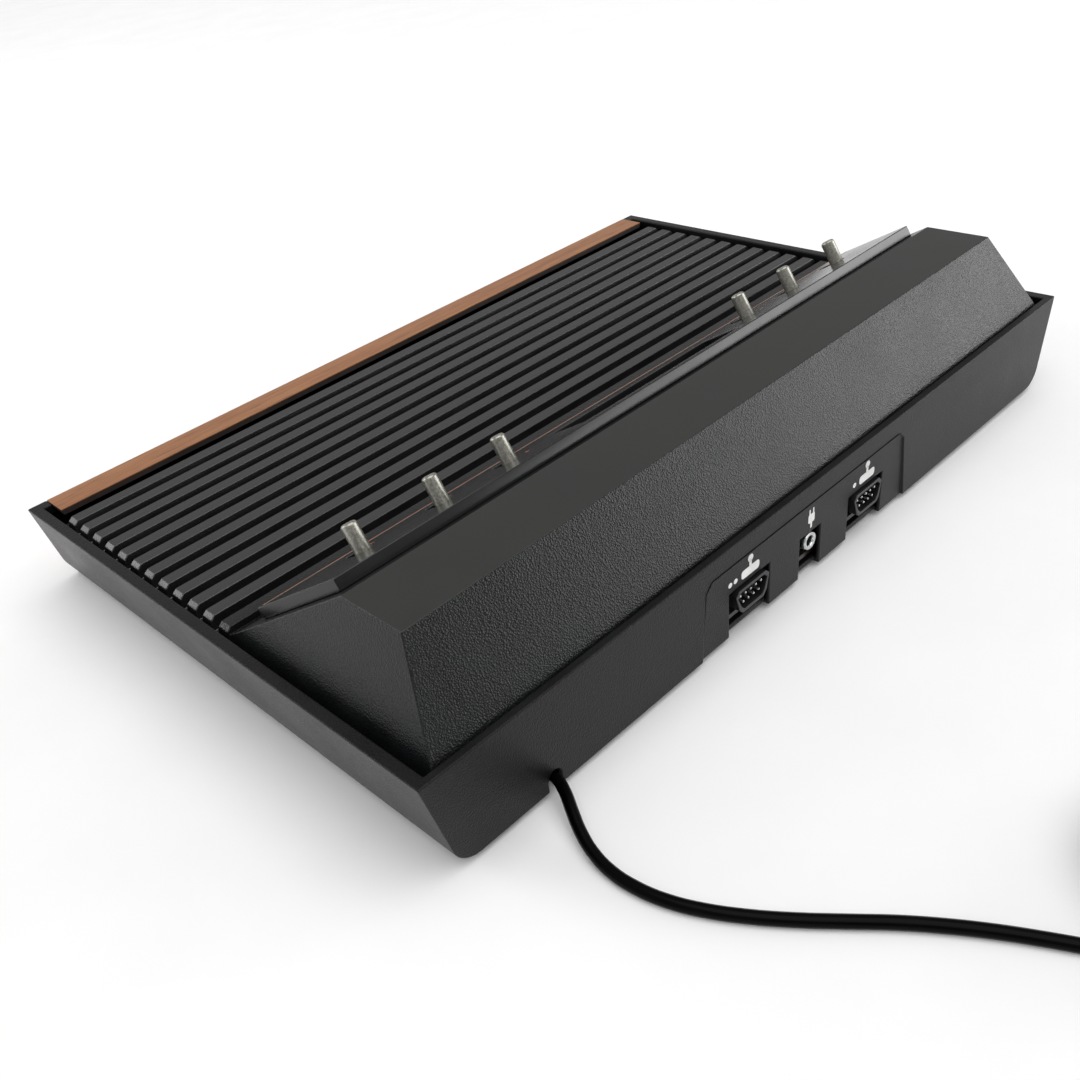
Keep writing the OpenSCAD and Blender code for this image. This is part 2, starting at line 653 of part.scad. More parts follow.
// Places of the nine contacts, five above four
function contact_at(x) = [
    for (k = [-2 : 2]) [x + k * contact_pitch, port_z + contact_row / 2],
    for (k = [-1.5 : 1.5]) [x + k * contact_pitch, port_z - contact_row / 2]
];
module contact_holes(x) {
    for (c = contact_at(x)) translate([c[0], shroud_y0 + 1, c[1]])
        rotate([90, 0, 0]) cylinder(d = contact_d + 2 * seat_gap, h = 5);
}
module contacts(x) {
    color("#c9b06a") for (c = contact_at(x)) translate([c[0], socket_face_y - 0.8, c[1]])
        rotate([90, 0, 0]) cylinder(d = contact_d, h = socket_face_y - 0.8 - shroud_y0 + 4);
}
module power_jack() {
    z0 = socket_board_z + board_t;
    color("#151517") difference() {
        span([-5.5, socket_y0 + 1, z0], [5.5, back_y - 7, port_z + 5]);
        translate([0, back_y - 6, port_z + 0.4]) rotate([90, 0, 0]) cylinder(d = jack_d + 2 * seat_gap, h = 9);
    }
}
module jack_bush() {
    color("#c5c7c8") translate([0, back_y - 1.2, port_z + 0.4]) rotate([90, 0, 0]) difference() {
        cylinder(d = jack_d, h = 13.4);
        translate([0, 0, -1]) cylinder(d = jack_bore, h = 13);
    }
}
module voltage_regulator() {
    z0 = socket_board_z + board_t;
    color("#222326") {
        span([12, socket_y0 - 6.5, z0 + 2], [22, socket_y0 - 2, z0 + 11]);
        for (x = [13.5, 16.5, 19.5]) span([x, socket_y0 - 4.6, z0], [x + 1, socket_y0 - 4, z0 + 2 + eps]);
    }
}
module heat_sink() {
    z0 = socket_board_z + board_t;
    color("#b5b7b9") {
        span([10, socket_y0 - 8.2, z0], [24, socket_y0 - 6.5 - seat_gap, z0 + 14]);
        for (x = [10, 22.6]) span([x, socket_y0 - 8.2, z0], [x + 1.4, socket_y0 - 2, z0 + 14]);
    }
}
module filter_capacitors() {
    z0 = socket_board_z + board_t;
    color("#26456b") for (x = [-20, -12]) post(x, socket_y0 - 4.5, 3.6, z0, z0 + 11);
}

// ---- aerial lead, modulator and channel switch ----
modulator_y1 = slope_y(deck_z, 0);
channel_x = cord_x - 34;
channel_y = modulator_y1 - 24;
module rf_modulator() {
    color("#b9bbba") difference() {
        span([cord_x - 12, modulator_y1 - 36, floor_z + seat_gap], [cord_x + 12, modulator_y1, floor_z + 18]);
        span([cord_x - 11, modulator_y1 - 35, floor_z + 1], [cord_x + 11, modulator_y1 - 1, floor_z + 17]);
    }
}
module cord_lead() {
    color("#141415") translate([cord_x, clamp_y1, cord_z]) rotate([90, 0, 0])
        cylinder(d = cord_d, h = clamp_y1 - modulator_y1 - seat_gap);
}
module cord_clamp() {
    color("#1b1b1c") difference() {
        span([cord_x - 6, clamp_y0, floor_z + seat_gap], [cord_x + 6, clamp_y1 - 0.6, cord_z + 5]);
        translate([cord_x, clamp_y1 + 1, cord_z]) rotate([90, 0, 0]) cylinder(d = cord_d + 0.1, h = 20);
    }
}
module channel_switch() {
    color("#8e9194") difference() {
        span([channel_x - 8, channel_y - 5, floor_z + seat_gap], [channel_x + 8, channel_y + 5, floor_z + 9]);
        span([channel_x - 6.5, channel_y - 2.5, floor_z - 1], [channel_x + 6.5, channel_y + 2.5, floor_z + 3]);
    }
}
module channel_slider() {
    color("#d8d6cf") {
        span([channel_x - 4.4, channel_y - 1.6, tub_z + 0.2], [channel_x - 1.4, channel_y + 1.6, floor_z + 0.5]);
        span([channel_x - 5.4, channel_y - 2.1, floor_z + 0.4], [channel_x - 0.4, channel_y + 2.1, floor_z + 2.4]);
    }
}

// ---- feet and screws ----
module rubber_feet() {
    color("#26262a") for (y = foot_y, s = [-1, 1]) translate([s * foot_x, y, 0]) rotate_extrude()
        polygon([[0, 0], [6, 0], [6.8, 0.8], [7, tub_z + 0.75], [0, tub_z + 0.75]]);
}
module case_screws() {
    color("#a4a6a8") for (y = screw_y, s = [-1, 1]) {
        post(s * screw_x, y, 3.1, tub_z + 0.1, tub_z + 1.95);
        post(s * screw_x, y, 1.5, tub_z + 1.9, 26);
    }
}

// ---- cord ----
module rf_cord() {
    color("#121213") tube(cord_path, cord_r, 8);
}
module cord_coil() {
    color("#121213") translate([coil_centre[0], coil_centre[1], 0]) rotate_extrude() polygon([
        [coil_in, tie_t + 1], [coil_in + 1, tie_t], [coil_out - 1, tie_t], [coil_out, tie_t + 1],
        [coil_out, coil_top - 1], [coil_out - 1, coil_top], [coil_in + 1, coil_top], [coil_in, coil_top - 1]]);
}
module coil_tie() {
    color("#202022") translate([coil_centre[0], coil_centre[1], 0]) rotate([0, 0, 215]) difference() {
        span([coil_in - tie_t - 0.1, -3, 0], [coil_out + tie_t + 0.1, 3, coil_top + tie_t]);
        span([coil_in - 0.1, -4, tie_t - 0.02], [coil_out + 0.1, 4, coil_top + 0.02]);
    }
}
module cord_tail() {
    color("#121213") tube(tail_path, cord_r, 8);
}
// Frame of the plug: its axis is Z, from the cord's end outwards
module at_plug() {
    translate(tail_path[len(tail_path) - 1]) rotate([0, 90, plug_turn + 16]) children();
}
module plug_body() {
    color("#161617") at_plug() rotate_extrude() polygon([
        [0, 0], [2.6, 0], [3, 8], [plug_r - 0.4, 10], [plug_r, 10.6], [plug_r, 23.4], [plug_r - 0.6, 24],
        [4.1, 24], [4.1, 22], [0, 22]]);
}
module plug_shell() {
    color("#c9cbcd") at_plug() difference() {
        translate([0, 0, 22.02]) cylinder(r = 4.05, h = 8.5);
        translate([0, 0, 23]) cylinder(r = 3.5, h = 9);
    }
}
module plug_pin() {
    color("#c9cbcd") at_plug() translate([0, 0, 23.02]) rotate_extrude() polygon([
        [0, 0], [1.6, 0], [1.6, 13.2], [1, 14.2], [0, 14.4]]);
}

bottom_tub();
top_shell();
front_panel();
woodgrain_film();
switch_plate();
cartridge_chute();
cartridge_connector();
lever(-lever_x[0]);  // power_lever
lever(-lever_x[1]);  // tv_type_lever
lever(-lever_x[2]);  // left_difficulty_lever
lever(lever_x[2]);  // right_difficulty_lever
lever(lever_x[1]);  // select_lever
lever(lever_x[0]);  // reset_lever
switch_frame(-lever_x[0]);  // power_switch
switch_frame(-lever_x[1]);  // tv_type_switch
switch_frame(-lever_x[2]);  // left_difficulty_switch
switch_frame(lever_x[2]);  // right_difficulty_switch
switch_frame(lever_x[1]);  // select_switch
switch_frame(lever_x[0]);  // reset_switch
lever_pins();
return_springs();
switch_board();
board_screws();
main_board();
shield_bottom();
shield_top();
chip(-connector_half - 43, 6, 36);  // processor_chip
chip(connector_half + 4, 4, 52);  // video_chip
chip(connector_half + 4, 24, 52);  // io_chip
ribbon_cable();
socket_board();
controller_socket(-port_x);  // left_controller_socket
controller_socket(port_x);  // right_controller_socket
contacts(-port_x);  // left_contacts
contacts(port_x);  // right_contacts
power_jack();
jack_bush();
voltage_regulator();
heat_sink();
filter_capacitors();
rf_modulator();
cord_lead();
cord_clamp();
channel_switch();
channel_slider();
rubber_feet();
case_screws();
rf_cord();
cord_coil();
coil_tie();
cord_tail();
plug_body();
plug_shell();
plug_pin();
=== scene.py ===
"""Looks of a low video game console: ribbed deck, rear hump, six levers, sockets, aerial cord.

Lengths are in millimetres in the row frame (+X to the player's right, +Y to the back, +Z up)
and turn to metres where a mesh is filled.
"""
from __future__ import annotations

import logging
import math
from dataclasses import dataclass
from enum import Enum
from typing import Any, Callable

import bmesh
import bpy
import numpy as np
from mathutils import Matrix, Vector

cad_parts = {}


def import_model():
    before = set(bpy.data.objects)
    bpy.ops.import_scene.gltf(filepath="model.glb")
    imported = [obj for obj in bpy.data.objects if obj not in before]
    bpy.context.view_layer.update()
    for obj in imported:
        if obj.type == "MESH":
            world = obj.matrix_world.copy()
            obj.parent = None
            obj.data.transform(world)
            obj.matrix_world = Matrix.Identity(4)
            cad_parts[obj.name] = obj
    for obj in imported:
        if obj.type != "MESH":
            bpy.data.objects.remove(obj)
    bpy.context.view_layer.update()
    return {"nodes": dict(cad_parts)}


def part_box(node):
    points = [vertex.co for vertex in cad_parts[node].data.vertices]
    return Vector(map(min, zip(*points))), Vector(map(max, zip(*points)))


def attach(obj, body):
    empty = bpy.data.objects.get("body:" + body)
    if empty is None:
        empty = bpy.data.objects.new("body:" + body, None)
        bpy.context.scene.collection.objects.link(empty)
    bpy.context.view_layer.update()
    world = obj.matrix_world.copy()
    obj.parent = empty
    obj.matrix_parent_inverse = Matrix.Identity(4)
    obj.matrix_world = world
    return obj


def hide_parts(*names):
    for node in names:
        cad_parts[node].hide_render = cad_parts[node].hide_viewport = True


Array = np.ndarray
Object = bpy.types.Object
Place = Callable[[Array], Array]
Mesh = tuple[Array, list[list[int]]]
Skin = tuple[Array, bool]
Point = tuple[float, float, float]
MM = 0.001
LOG = logging.getLogger("console")
# Points of a CAD mesh closer than this, in metres, are one
WELD = 2e-6
# Faces of a CAD mesh that turn by less than this, in degrees, are one flat face
COPLANAR = 0.6
# How strongly a large face keeps its own direction beside a rounded edge
FACE_WEIGHT = 80


def linked(name: str, data: bpy.types.ID | None) -> Object:
    """New object of some data, at the origin of the scene."""
    thing = bpy.data.objects.new(name, data)
    bpy.context.scene.collection.objects.link(thing)
    return thing


# ---------------------------------------------------------------- shapes
def axis_frame(axis: Point) -> Array:
    """Directions that stand square to each other round an axis.

    Args:
        axis: direction of the axis, of any length.

    Returns:
        Three unit rows u, w, a, where a is the axis and u, w, a turn right-handed.
    """
    a = np.array(axis, float) / np.linalg.norm(axis)
    helper = np.array([0.0, 0.0, 1.0]) if abs(a[2]) < 0.9 else np.array([1.0, 0.0, 0.0])
    u = np.cross(helper, a)
    u /= np.linalg.norm(u)
    return np.array([u, np.cross(a, u), a])


def as_is(points: Array) -> Array:
    """Leaves points where they are."""
    return points


@dataclass(frozen=True)
class Slope:
    """The hump's front slope as a frame: x across, v down the slope from its top edge, n out of it."""

    y: float = 72.1
    z: float = 67.3
    angle: float = math.radians(30.5)

    def place(self, p: Array) -> Array:
        """Turns local points (x, -v, n) by the slope's angle and moves them to its top edge.

        Args:
            p: array (..., 3) of local points.

        Returns:
            The points in the row frame.
        """
        c, s = math.cos(self.angle), math.sin(self.angle)
        return np.stack([p[..., 0], self.y + c * p[..., 1] - s * p[..., 2],
                         self.z + s * p[..., 1] + c * p[..., 2]], axis=-1)


SLOPE = Slope()


def put(name: str, points: Array, faces: list[list[int]], sharp: float = 32.0) -> Object:
    """Fills a mesh object from points and faces.

    Args:
        name: name of the piece.
        points: array (n, 3) in millimetres.
        faces: corner numbers of each face, counter-clockwise from outside.
        sharp: edges that turn by more than this many degrees stay crisp.

    Returns:
        The linked object, at the origin.
    """
    mesh = bpy.data.meshes.new(name)
    mesh.from_pydata((points * MM).tolist(), [], faces)
    mesh.validate()
    mesh.polygons.foreach_set("use_smooth", [True] * len(mesh.polygons))
    mesh.set_sharp_from_angle(angle=math.radians(sharp))
    return linked(name, mesh)


def skin(rings: Array, looped: bool = False, first: int = 0) -> Mesh:
    """Skin over rings of points: face (i, j) joins points j and j + 1 of rings i and i + 1.

    Args:
        rings: array (m, n, 3); each ring runs counter-clockwise seen from the last ring's side.
        looped: True joins the last ring to the first; False closes both ends with flat faces.
        first: number of the first point, for a mesh of several skins.

    Returns:
        Points (m * n, 3) and faces.
    """
    m, n = rings.shape[:2]
    rows = np.arange(m if looped else m - 1)[:, None]
    cols = np.arange(n)[None, :]
    after, beside = (rows + 1) % m, (cols + 1) % n
    quads = np.stack([rows * n + cols, rows * n + beside, after * n + beside, after * n + cols], axis=-1)
    faces = (quads.reshape(-1, 4) + first).tolist()
    if not looped:
        faces.append((np.arange(n)[::-1] + first).tolist())
        faces.append((np.arange(n) + (m - 1) * n + first).tolist())
    return rings.reshape(-1, 3), faces


def gather(name: str, skins: list[Skin], sharp: float = 32.0) -> Object:
    """One mesh from several closed skins.

    Args:
        name: name of the piece.
        skins: rings of each skin, and whether its last ring joins its first.
        sharp: edges that turn by more than this many degrees stay crisp.

    Returns:
        The linked object, at the origin.
    """
    points: list[Array] = []
    faces: list[list[int]] = []
    count = 0
    for rings, looped in skins:
        some, more = skin(rings, looped, count)
        points.append(some)
        faces += more
        count += len(some)
    return put(name, np.concatenate(points), faces, sharp)


def lathe(profile: list[tuple[float, float]], origin: Array, axis: Point, steps: int = 40) -> Array:
    """Rings of a profile turned round an axis: point = origin + r (cos t u + sin t w) + h a.

    Args:
        profile: (radius, height) pairs from the foot up, all radii above zero.
        origin: foot of the axis, in millimetres.
        axis: direction of the axis.
        steps: points in each ring.

    Returns:
        Array (pairs, steps, 3).
    """
    u, w, a = axis_frame(axis)
    r, h = np.array(profile, float).T[:, :, None, None]
    t = np.linspace(0, 2 * math.pi, steps, endpoint=False)[None, :, None]
    return np.asarray(origin, float) + r * (np.cos(t) * u + np.sin(t) * w) + h * a


def rounded(profile: list[tuple[float, float]], radius: float,
            steps: int = 4) -> list[tuple[float, float]]:
    """Profile with each inner corner replaced by a quadratic curve that starts a radius before it.

    The curve is (1-t)^2 p + 2t(1-t) corner + t^2 q, with p and q a radius away along each side,
    or just short of the side's middle where the side is too short for that.

    Args:
        profile: points of the profile; its first and last stay.
        radius: distance from a corner to the ends of its curve, in millimetres.
        steps: pieces of each curve.

    Returns:
        The points of the rounded profile.
    """
    p = np.array(profile, float)
    out = [tuple(p[0])]
    t = np.linspace(0, 1, steps + 1)[:, None]
    for before, corner, after in zip(p[:-2], p[1:-1], p[2:]):
        reach = [min(radius, 0.45 * np.linalg.norm(e - corner)) for e in (before, after)]
        a, b = (corner + (e - corner) * d / max(np.linalg.norm(e - corner), 1e-9)
                for e, d in zip((before, after), reach))
        out += [tuple(q) for q in (1 - t) ** 2 * a + 2 * t * (1 - t) * corner + t ** 2 * b]
    return out + [tuple(p[-1])]


def inset(outline: Array, depth: Array | float) -> Array:
    """Outline moved inwards.

    Each corner p goes to p + depth (m + k) / (1 + m.k), with m and k the inward normals of its sides.

    Args:
        outline: array (n, 2), counter-clockwise.
        depth: how far every side moves, in millimetres.

    Returns:
        Array (n, 2).
    """
    ahead = np.roll(outline, -1, axis=0) - outline
    ahead /= np.linalg.norm(ahead, axis=1, keepdims=True)
    inward = np.stack([-ahead[:, 1], ahead[:, 0]], axis=1)
    behind = np.roll(inward, 1, axis=0)
    share = 1 + np.sum(inward * behind, axis=1, keepdims=True)
    return outline + depth * (inward + behind) / np.maximum(share, 0.2)


def prism(outline: Array, low: float, high: float, edge: float = 0.0, place: Place = as_is,
          steps: int = 3) -> Array:
    """Rings of an outline carried up from low to high, with both end edges rounded.

    Args:
        outline: array (n, 2), counter-clockwise.
        low: height of the foot.
        high: height of the top.
        edge: radius of the rounded end edges: ring k is inset by edge (1 - cos t), t from 90 deg to 0.
        place: moves local points into the row frame.
        steps: rings in each rounded edge.

    Returns:
        Array (rings, n, 3).
    """
    t = np.linspace(math.pi / 2, 0, steps + 1) if edge else np.array([0.0])
    depth = edge * (1 - np.cos(t))
    rise = edge * (1 - np.sin(t))
    depths = np.concatenate([depth, depth[::-1]])
    heights = np.concatenate([low + rise, high - rise[::-1]])
    rings = [np.column_stack([inset(outline, d), np.full(len(outline), z)])
             for d, z in zip(depths, heights)]
    return place(np.array(rings))


def rectangle(x0: float, x1: float, y0: float, y1: float, corner: float = 0.0,
              steps: int = 4) -> Array:
    """Counter-clockwise rectangle whose corners are quarter circles.

    Args:
        x0: left side.
        x1: right side.
        y0: lower side.
        y1: upper side.
        corner: radius of the corners, or 0 for crisp ones.
        steps: pieces of each quarter circle.

    Returns:
        Array (n, 2).
    """
    if not corner:
        return np.array([[x0, y0], [x1, y0], [x1, y1], [x0, y1]], float)
    t = np.linspace(0, math.pi / 2, steps + 1)
    arcs = []
    for k, (cx, cy) in enumerate([(x1 - corner, y0 + corner), (x1 - corner, y1 - corner),
                                  (x0 + corner, y1 - corner), (x0 + corner, y0 + corner)]):
        a = t + (k - 1) * math.pi / 2
        arcs.append(np.stack([cx + corner * np.cos(a), cy + corner * np.sin(a)], axis=1))
    return np.concatenate(arcs)


def disc(x: float, y: float, r: float, steps: int = 24) -> Array:
    """Counter-clockwise circle round (x, y), as an array (steps, 2)."""
    t = np.linspace(0, 2 * math.pi, steps, endpoint=False)
    return np.stack([x + r * np.cos(t), y + r * np.sin(t)], axis=1)


def tube(path: Array, radius: float, up: Array, steps: int = 10) -> Array:
    """Rings of a round tube along a path: ring = p + r (cos t side + sin t over).

    side is the path's direction crossed with up, and over is square to both.

    Args:
        path: array (m, 3), the tube's centreline.
        radius: the tube's radius.
        up: a direction that the path never follows.
        steps: points in each ring.

    Returns:
        Array (m, steps, 3).
    """
    ahead = np.gradient(path, axis=0)
    ahead /= np.linalg.norm(ahead, axis=1, keepdims=True)
    side = np.cross(ahead, up)
    side /= np.linalg.norm(side, axis=1, keepdims=True)
    over = np.cross(side, ahead)
    t = np.linspace(0, 2 * math.pi, steps, endpoint=False)[None, :, None]
    return path[:, None] + radius * (np.cos(-t) * side[:, None] + np.sin(-t) * over[:, None])


def softened(name: str, node: Object, edge: float, segments: int = 2, angle: float = 28.0) -> Object:
    """A merged copy of a CAD node whose edges a Bevel modifier rounds, with its large faces kept flat.

    Args:
        name: name of the piece.
        node: the CAD node's object.
        edge: width of the rounding, in millimetres.
        segments: faces across the rounding.
        angle: only edges that turn by more than this many degrees are rounded.

    Returns:
        The linked object, at the origin.
    """
    work = bmesh.new()
    work.from_mesh(node.data)
    work.transform(node.matrix_world)
    bmesh.ops.remove_doubles(work, verts=work.verts, dist=WELD)
    bmesh.ops.dissolve_limit(work, angle_limit=math.radians(COPLANAR), verts=work.verts,
                             edges=work.edges)
    mesh = bpy.data.meshes.new(name)
    work.to_mesh(mesh)
    work.free()
    mesh.polygons.foreach_set("use_smooth", [True] * len(mesh.polygons))
    piece = linked(name, mesh)
    bevel = piece.modifiers.new("rounded edges", "BEVEL")
    bevel.width = edge * MM
    bevel.segments = segments
    bevel.limit_method = "ANGLE"
    bevel.angle_limit = math.radians(angle)
    bevel.use_clamp_overlap = False
    flat = piece.modifiers.new("flat large faces", "WEIGHTED_NORMAL")
    flat.mode = "FACE_AREA_WITH_ANGLE"
    flat.weight = FACE_WEIGHT
    return piece


# ---------------------------------------------------------------- finishes
def linear(code: str) -> tuple[float, float, float, float]:
    """Linear colour of an sRGB hex value such as 2a2b2d."""
    c = np.array([int(code[k:k + 2], 16) for k in (0, 2, 4)]) / 255
    c = np.where(c <= 0.04045, c / 12.92, ((c + 0.055) / 1.055) ** 2.4)
    return (float(c[0]), float(c[1]), float(c[2]), 1.0)


def add(tree: bpy.types.NodeTree, kind: str, inputs: dict[str | int, Any] | None = None,
        stops: tuple[tuple[float, str], ...] = (), **settings: Any) -> bpy.types.Node:
    """Adds a node.

    Args:
        tree: node tree.
        kind: the node's type name without its ShaderNode prefix.
        inputs: socket name or number to a value, or to an output socket that is linked to it.
        stops: places and sRGB hex values, for a node that holds a colour ramp.
        settings: the node's own properties.

    Returns:
        The node.
    """
    node = tree.nodes.new("ShaderNode" + kind)
    for index, (where, code) in enumerate(stops):
        ends = node.color_ramp.elements
        element = ends[index] if index < len(ends) else ends.new(where)
        element.position, element.color = where, linear(code)
    for key, value in settings.items():
        setattr(node, key, value)
    for key, value in (inputs or {}).items():
        if isinstance(value, bpy.types.NodeSocket):
            tree.links.new(value, node.inputs[key])
        else:
            node.inputs[key].default_value = value
    return node


@dataclass(frozen=True)
class Finish:
    """A surface finish: what it is made of and how its surface was made."""

    name: str

    def start(self, **shader: Any
              ) -> tuple[bpy.types.NodeTree, bpy.types.Node, bpy.types.NodeSocket]:
        """New material with its shader's plain values set.

        Args:
            shader: socket name with _ for a space, to its value.

        Returns:
            The tree, the shader node and the object coordinates.
        """
        material = bpy.data.materials.new(self.name)
        material.use_nodes = True
        tree = material.node_tree
        surface = tree.nodes["Principled BSDF"]
        for key, value in shader.items():
            surface.inputs[key.replace("_", " ")].default_value = value
        return tree, surface, add(tree, "TexCoord").outputs["Object"]

    def join(self, tree: bpy.types.NodeTree, surface: bpy.types.Node,
             **sources: bpy.types.NodeSocket) -> None:
        """Links output sockets to the shader.

        Args:
            tree: the material's node tree.
            surface: its shader node.
            sources: socket name with _ for a space, to the output that feeds it.
        """
        for key, source in sources.items():
            tree.links.new(source, surface.inputs[key.replace("_", " ")])

    def material(self) -> bpy.types.Material:
        """The finish as a material, made once."""
        if self.name not in bpy.data.materials:
            self.build()
        return bpy.data.materials[self.name]

    def build(self) -> None:
        """Fills the material's nodes."""
        raise NotImplementedError


@dataclass(frozen=True)
class Moulded(Finish):
    """Injection-moulded plastic: the tool's spark-eroded texture breaks the gloss into fine pebbles."""

    dark: str = "1c1c1d"
    light: str = "242425"
    roughness: float = 0.42
    grain_mm: float = 0.5
    depth_mm: float = 0.02
    gloss: float = 0.5
    cloud_mm: float = 18.0

    def build(self) -> None:
        """Pebbles from a cell pattern with a finer noise on it; slow clouds shift colour and gloss."""
        tree, surface, where = self.start(IOR=1.53, Specular_IOR_Level=self.gloss)
        cloud = add(tree, "TexNoise", {"Vector": where, "Scale": 1 / (self.cloud_mm * MM), "Detail": 5.0,
                                       "Roughness": 0.6}).outputs[0]
        cells = add(tree, "TexVoronoi", {"Vector": where, "Scale": 1 / (self.grain_mm * MM),
                                         "Randomness": 1.0}).outputs["Distance"]
        dust = add(tree, "TexNoise", {"Vector": where, "Scale": 2.5 / (self.grain_mm * MM),
                                      "Detail": 2.0}).outputs[0]
        height = add(tree, "Math", {0: dust, 1: 0.5, 2: cells}, operation="MULTIPLY_ADD").outputs[0]
        bump = add(tree, "Bump", {"Height": height, "Strength": 1.0, "Distance": self.depth_mm * MM})
        spread = add(tree, "MapRange", {0: cloud, 1: 0.3, 2: 0.7, 3: self.roughness - 0.04,
                                        4: self.roughness + 0.05}).outputs[0]
        colour = add(tree, "ValToRGB", {0: cloud}, ((0.35, self.dark), (0.65, self.light)))
        self.join(tree, surface, Base_Color=colour.outputs[0], Roughness=spread, Normal=bump.outputs[0])


@dataclass(frozen=True)
class Metal(Finish):
    """Bare or plated metal: mottled where cast, streaked along one axis where rolled or drawn."""

    dark: str = "8c8b86"
    light: str = "b8b7b0"
    roughness: float = 0.4
    mottle_mm: float = 0.8
    stretch: tuple[float, float, float] = (1.0, 1.0, 1.0)
    depth_mm: float = 0.01

    def build(self) -> None:
        """One noise, drawn out along the working direction, sets colour, gloss and relief."""
        tree, surface, where = self.start(Metallic=1.0)
        drawn = add(tree, "Mapping", {"Vector": where, "Scale": self.stretch}).outputs[0]
        noise = add(tree, "TexNoise", {"Vector": drawn, "Scale": 1 / (self.mottle_mm * MM), "Detail": 6.0,
                                       "Roughness": 0.65}).outputs[0]
        spread = add(tree, "MapRange", {0: noise, 1: 0.3, 2: 0.7, 3: self.roughness - 0.08,
                                        4: self.roughness + 0.1}).outputs[0]
        bump = add(tree, "Bump", {"Height": noise, "Strength": 0.5, "Distance": self.depth_mm * MM})
        colour = add(tree, "ValToRGB", {0: noise}, ((0.38, self.dark), (0.62, self.light)))
        self.join(tree, surface, Base_Color=colour.outputs[0], Roughness=spread, Normal=bump.outputs[0])


@dataclass(frozen=True)
class WoodPrint(Finish):
    """Printed woodgrain film: brown bands with fine darker pores along X under a satin lacquer."""

    pale: str = "a46f44"
    brown: str = "8f5b36"
    pore: str = "5f3820"

    def build(self) -> None:
        """Wide slow bands and thin long pores are noises stretched along X, mixed by colour."""
        tree, surface, where = self.start(Roughness=0.42, Coat_Weight=0.15, Coat_Roughness=0.3)
        long = add(tree, "Mapping", {"Vector": where, "Scale": (0.035, 1.0, 1.0)}).outputs[0]
        band = add(tree, "TexNoise", {"Vector": long, "Scale": 1 / (2.5 * MM), "Detail": 3.0,
                                      "Distortion": 0.6}).outputs[0]
        fine = add(tree, "TexNoise", {"Vector": long, "Scale": 1 / (0.45 * MM), "Detail": 3.0}).outputs[0]
        wood = add(tree, "ValToRGB", {0: band}, ((0.32, self.brown), (0.68, self.pale))).outputs[0]
        lines = add(tree, "MapRange", {0: fine, 1: 0.52, 2: 0.7, 3: 0.0, 4: 0.75}).outputs[0]
        mix = add(tree, "MixRGB", {0: lines, 1: wood, 2: linear(self.pore)}).outputs[0]
        bump = add(tree, "Bump", {"Height": fine, "Strength": 0.3, "Distance": 0.01 * MM})
        self.join(tree, surface, Base_Color=mix, Normal=bump.outputs[0])


@dataclass(frozen=True)
class Laminate(Finish):
    """Board under solder mask: the copper tracks below it show as paler bars between dark fields."""

    mask: str = "2f6a3c"
    track: str = "4f8f52"
    pitch_mm: float = 5.08

    def build(self) -> None:
        """A brick pattern gives the tracks in its mortar, which stands a little proud."""
        tree, surface, where = self.start(Roughness=0.35, Coat_Weight=0.3)
        bricks = add(tree, "TexBrick", {"Vector": where, "Color1": linear(self.mask),
                                        "Color2": linear(self.mask), "Mortar": linear(self.track),
                                        "Scale": 1 / (self.pitch_mm * MM), "Mortar Size": 0.08,
                                        "Mortar Smooth": 0.1, "Brick Width": 1.6, "Row Height": 0.5})
        bump = add(tree, "Bump", {"Height": bricks.outputs["Fac"], "Strength": 0.4, "Distance": 0.04 * MM})
        self.join(tree, surface, Base_Color=bricks.outputs[0], Normal=bump.outputs[0])


@dataclass(frozen=True)
class Ribbed(Finish):
    """Flat cable: parallel cores under vinyl give fine grey ridges, with painted shade in the troughs
    between them.
    """

    dark: str = "74767a"
    light: str = "a2a4a6"
    pitch_mm: float = 1.27

    def build(self) -> None:
        """A sine wave across X gives one ridge for each core; the same wave paints the troughs darker as
        painted shade and the ridges lighter as painted highlight.
        """
        tree, surface, where = self.start(Roughness=0.5)
        wave = add(tree, "TexWave", {"Vector": where, "Scale": 0.314 / (self.pitch_mm * MM)},
                   bands_direction="X").outputs[1]
        bump = add(tree, "Bump", {"Height": wave, "Strength": 0.8, "Distance": 0.2 * MM})
        # Painted shade and highlight: the colour follows the ridges, dark in the troughs and light on the
        # tops
        colour = add(tree, "ValToRGB", {0: wave}, ((0.1, self.dark), (0.7, self.light)))
        self.join(tree, surface, Base_Color=colour.outputs[0], Normal=bump.outputs[0])


# ABS, moulded in a fine-grained tool: even dark grey, satin, with slow clouds of gloss
TUB = Moulded("ABS fine grain case", "0f0f10", "18181a", 0.33, 0.55, 0.085, 0.19, 22.0)
# ABS, moulded in a leather-grained tool: pebbles about 0.6 mm across that sparkle at low angles
SHELL = Moulded("ABS leather grain shell", "0a0b0c", "131516", 0.30, 0.62, 0.1, 0.33, 26.0)
# ABS from the polished land of the same tool: flat, matt and a shade greener, on the hump's top
LAND = Moulded("ABS smooth top", "141412", "1b1b18", 0.45, 0.5, 0.012, 0.55, 30.0)
# ABS, lightly grained and satin, on the ribs: a soft blue-grey bloom on their tops. Its near-black colour,
# darker than the shell's, is partly painted shade for the grooves between the ribs
RIB = Moulded("ABS fine grain ribs with painted shade", "050506", "09090a", 0.40, 0.6, 0.06, 0.9, 16.0)
# ABS, brown-black and matt, mostly covered by the film
PANEL = Moulded("ABS brown panel", "2a2321", "342b28", 0.5, 0.5, 0.02)
# Polystyrene, moulded smooth: semi-gloss black that mirrors the room softly
PLATE = Moulded("polystyrene satin plate", "0f0f10", "131314", 0.22, 0.5, 0.0012, 0.5, 40.0)
# Polypropylene, matt grey-black, for parts inside the case
INNER = Moulded("polypropylene inner part", "1f2021", "2a2b2c", 0.5, 0.4, 0.01)
# Phenolic, blue-grey and dull, for the edge connector
PHENOLIC = Moulded("phenolic connector", "2c3138", "3a4048", 0.45, 0.4, 0.01)
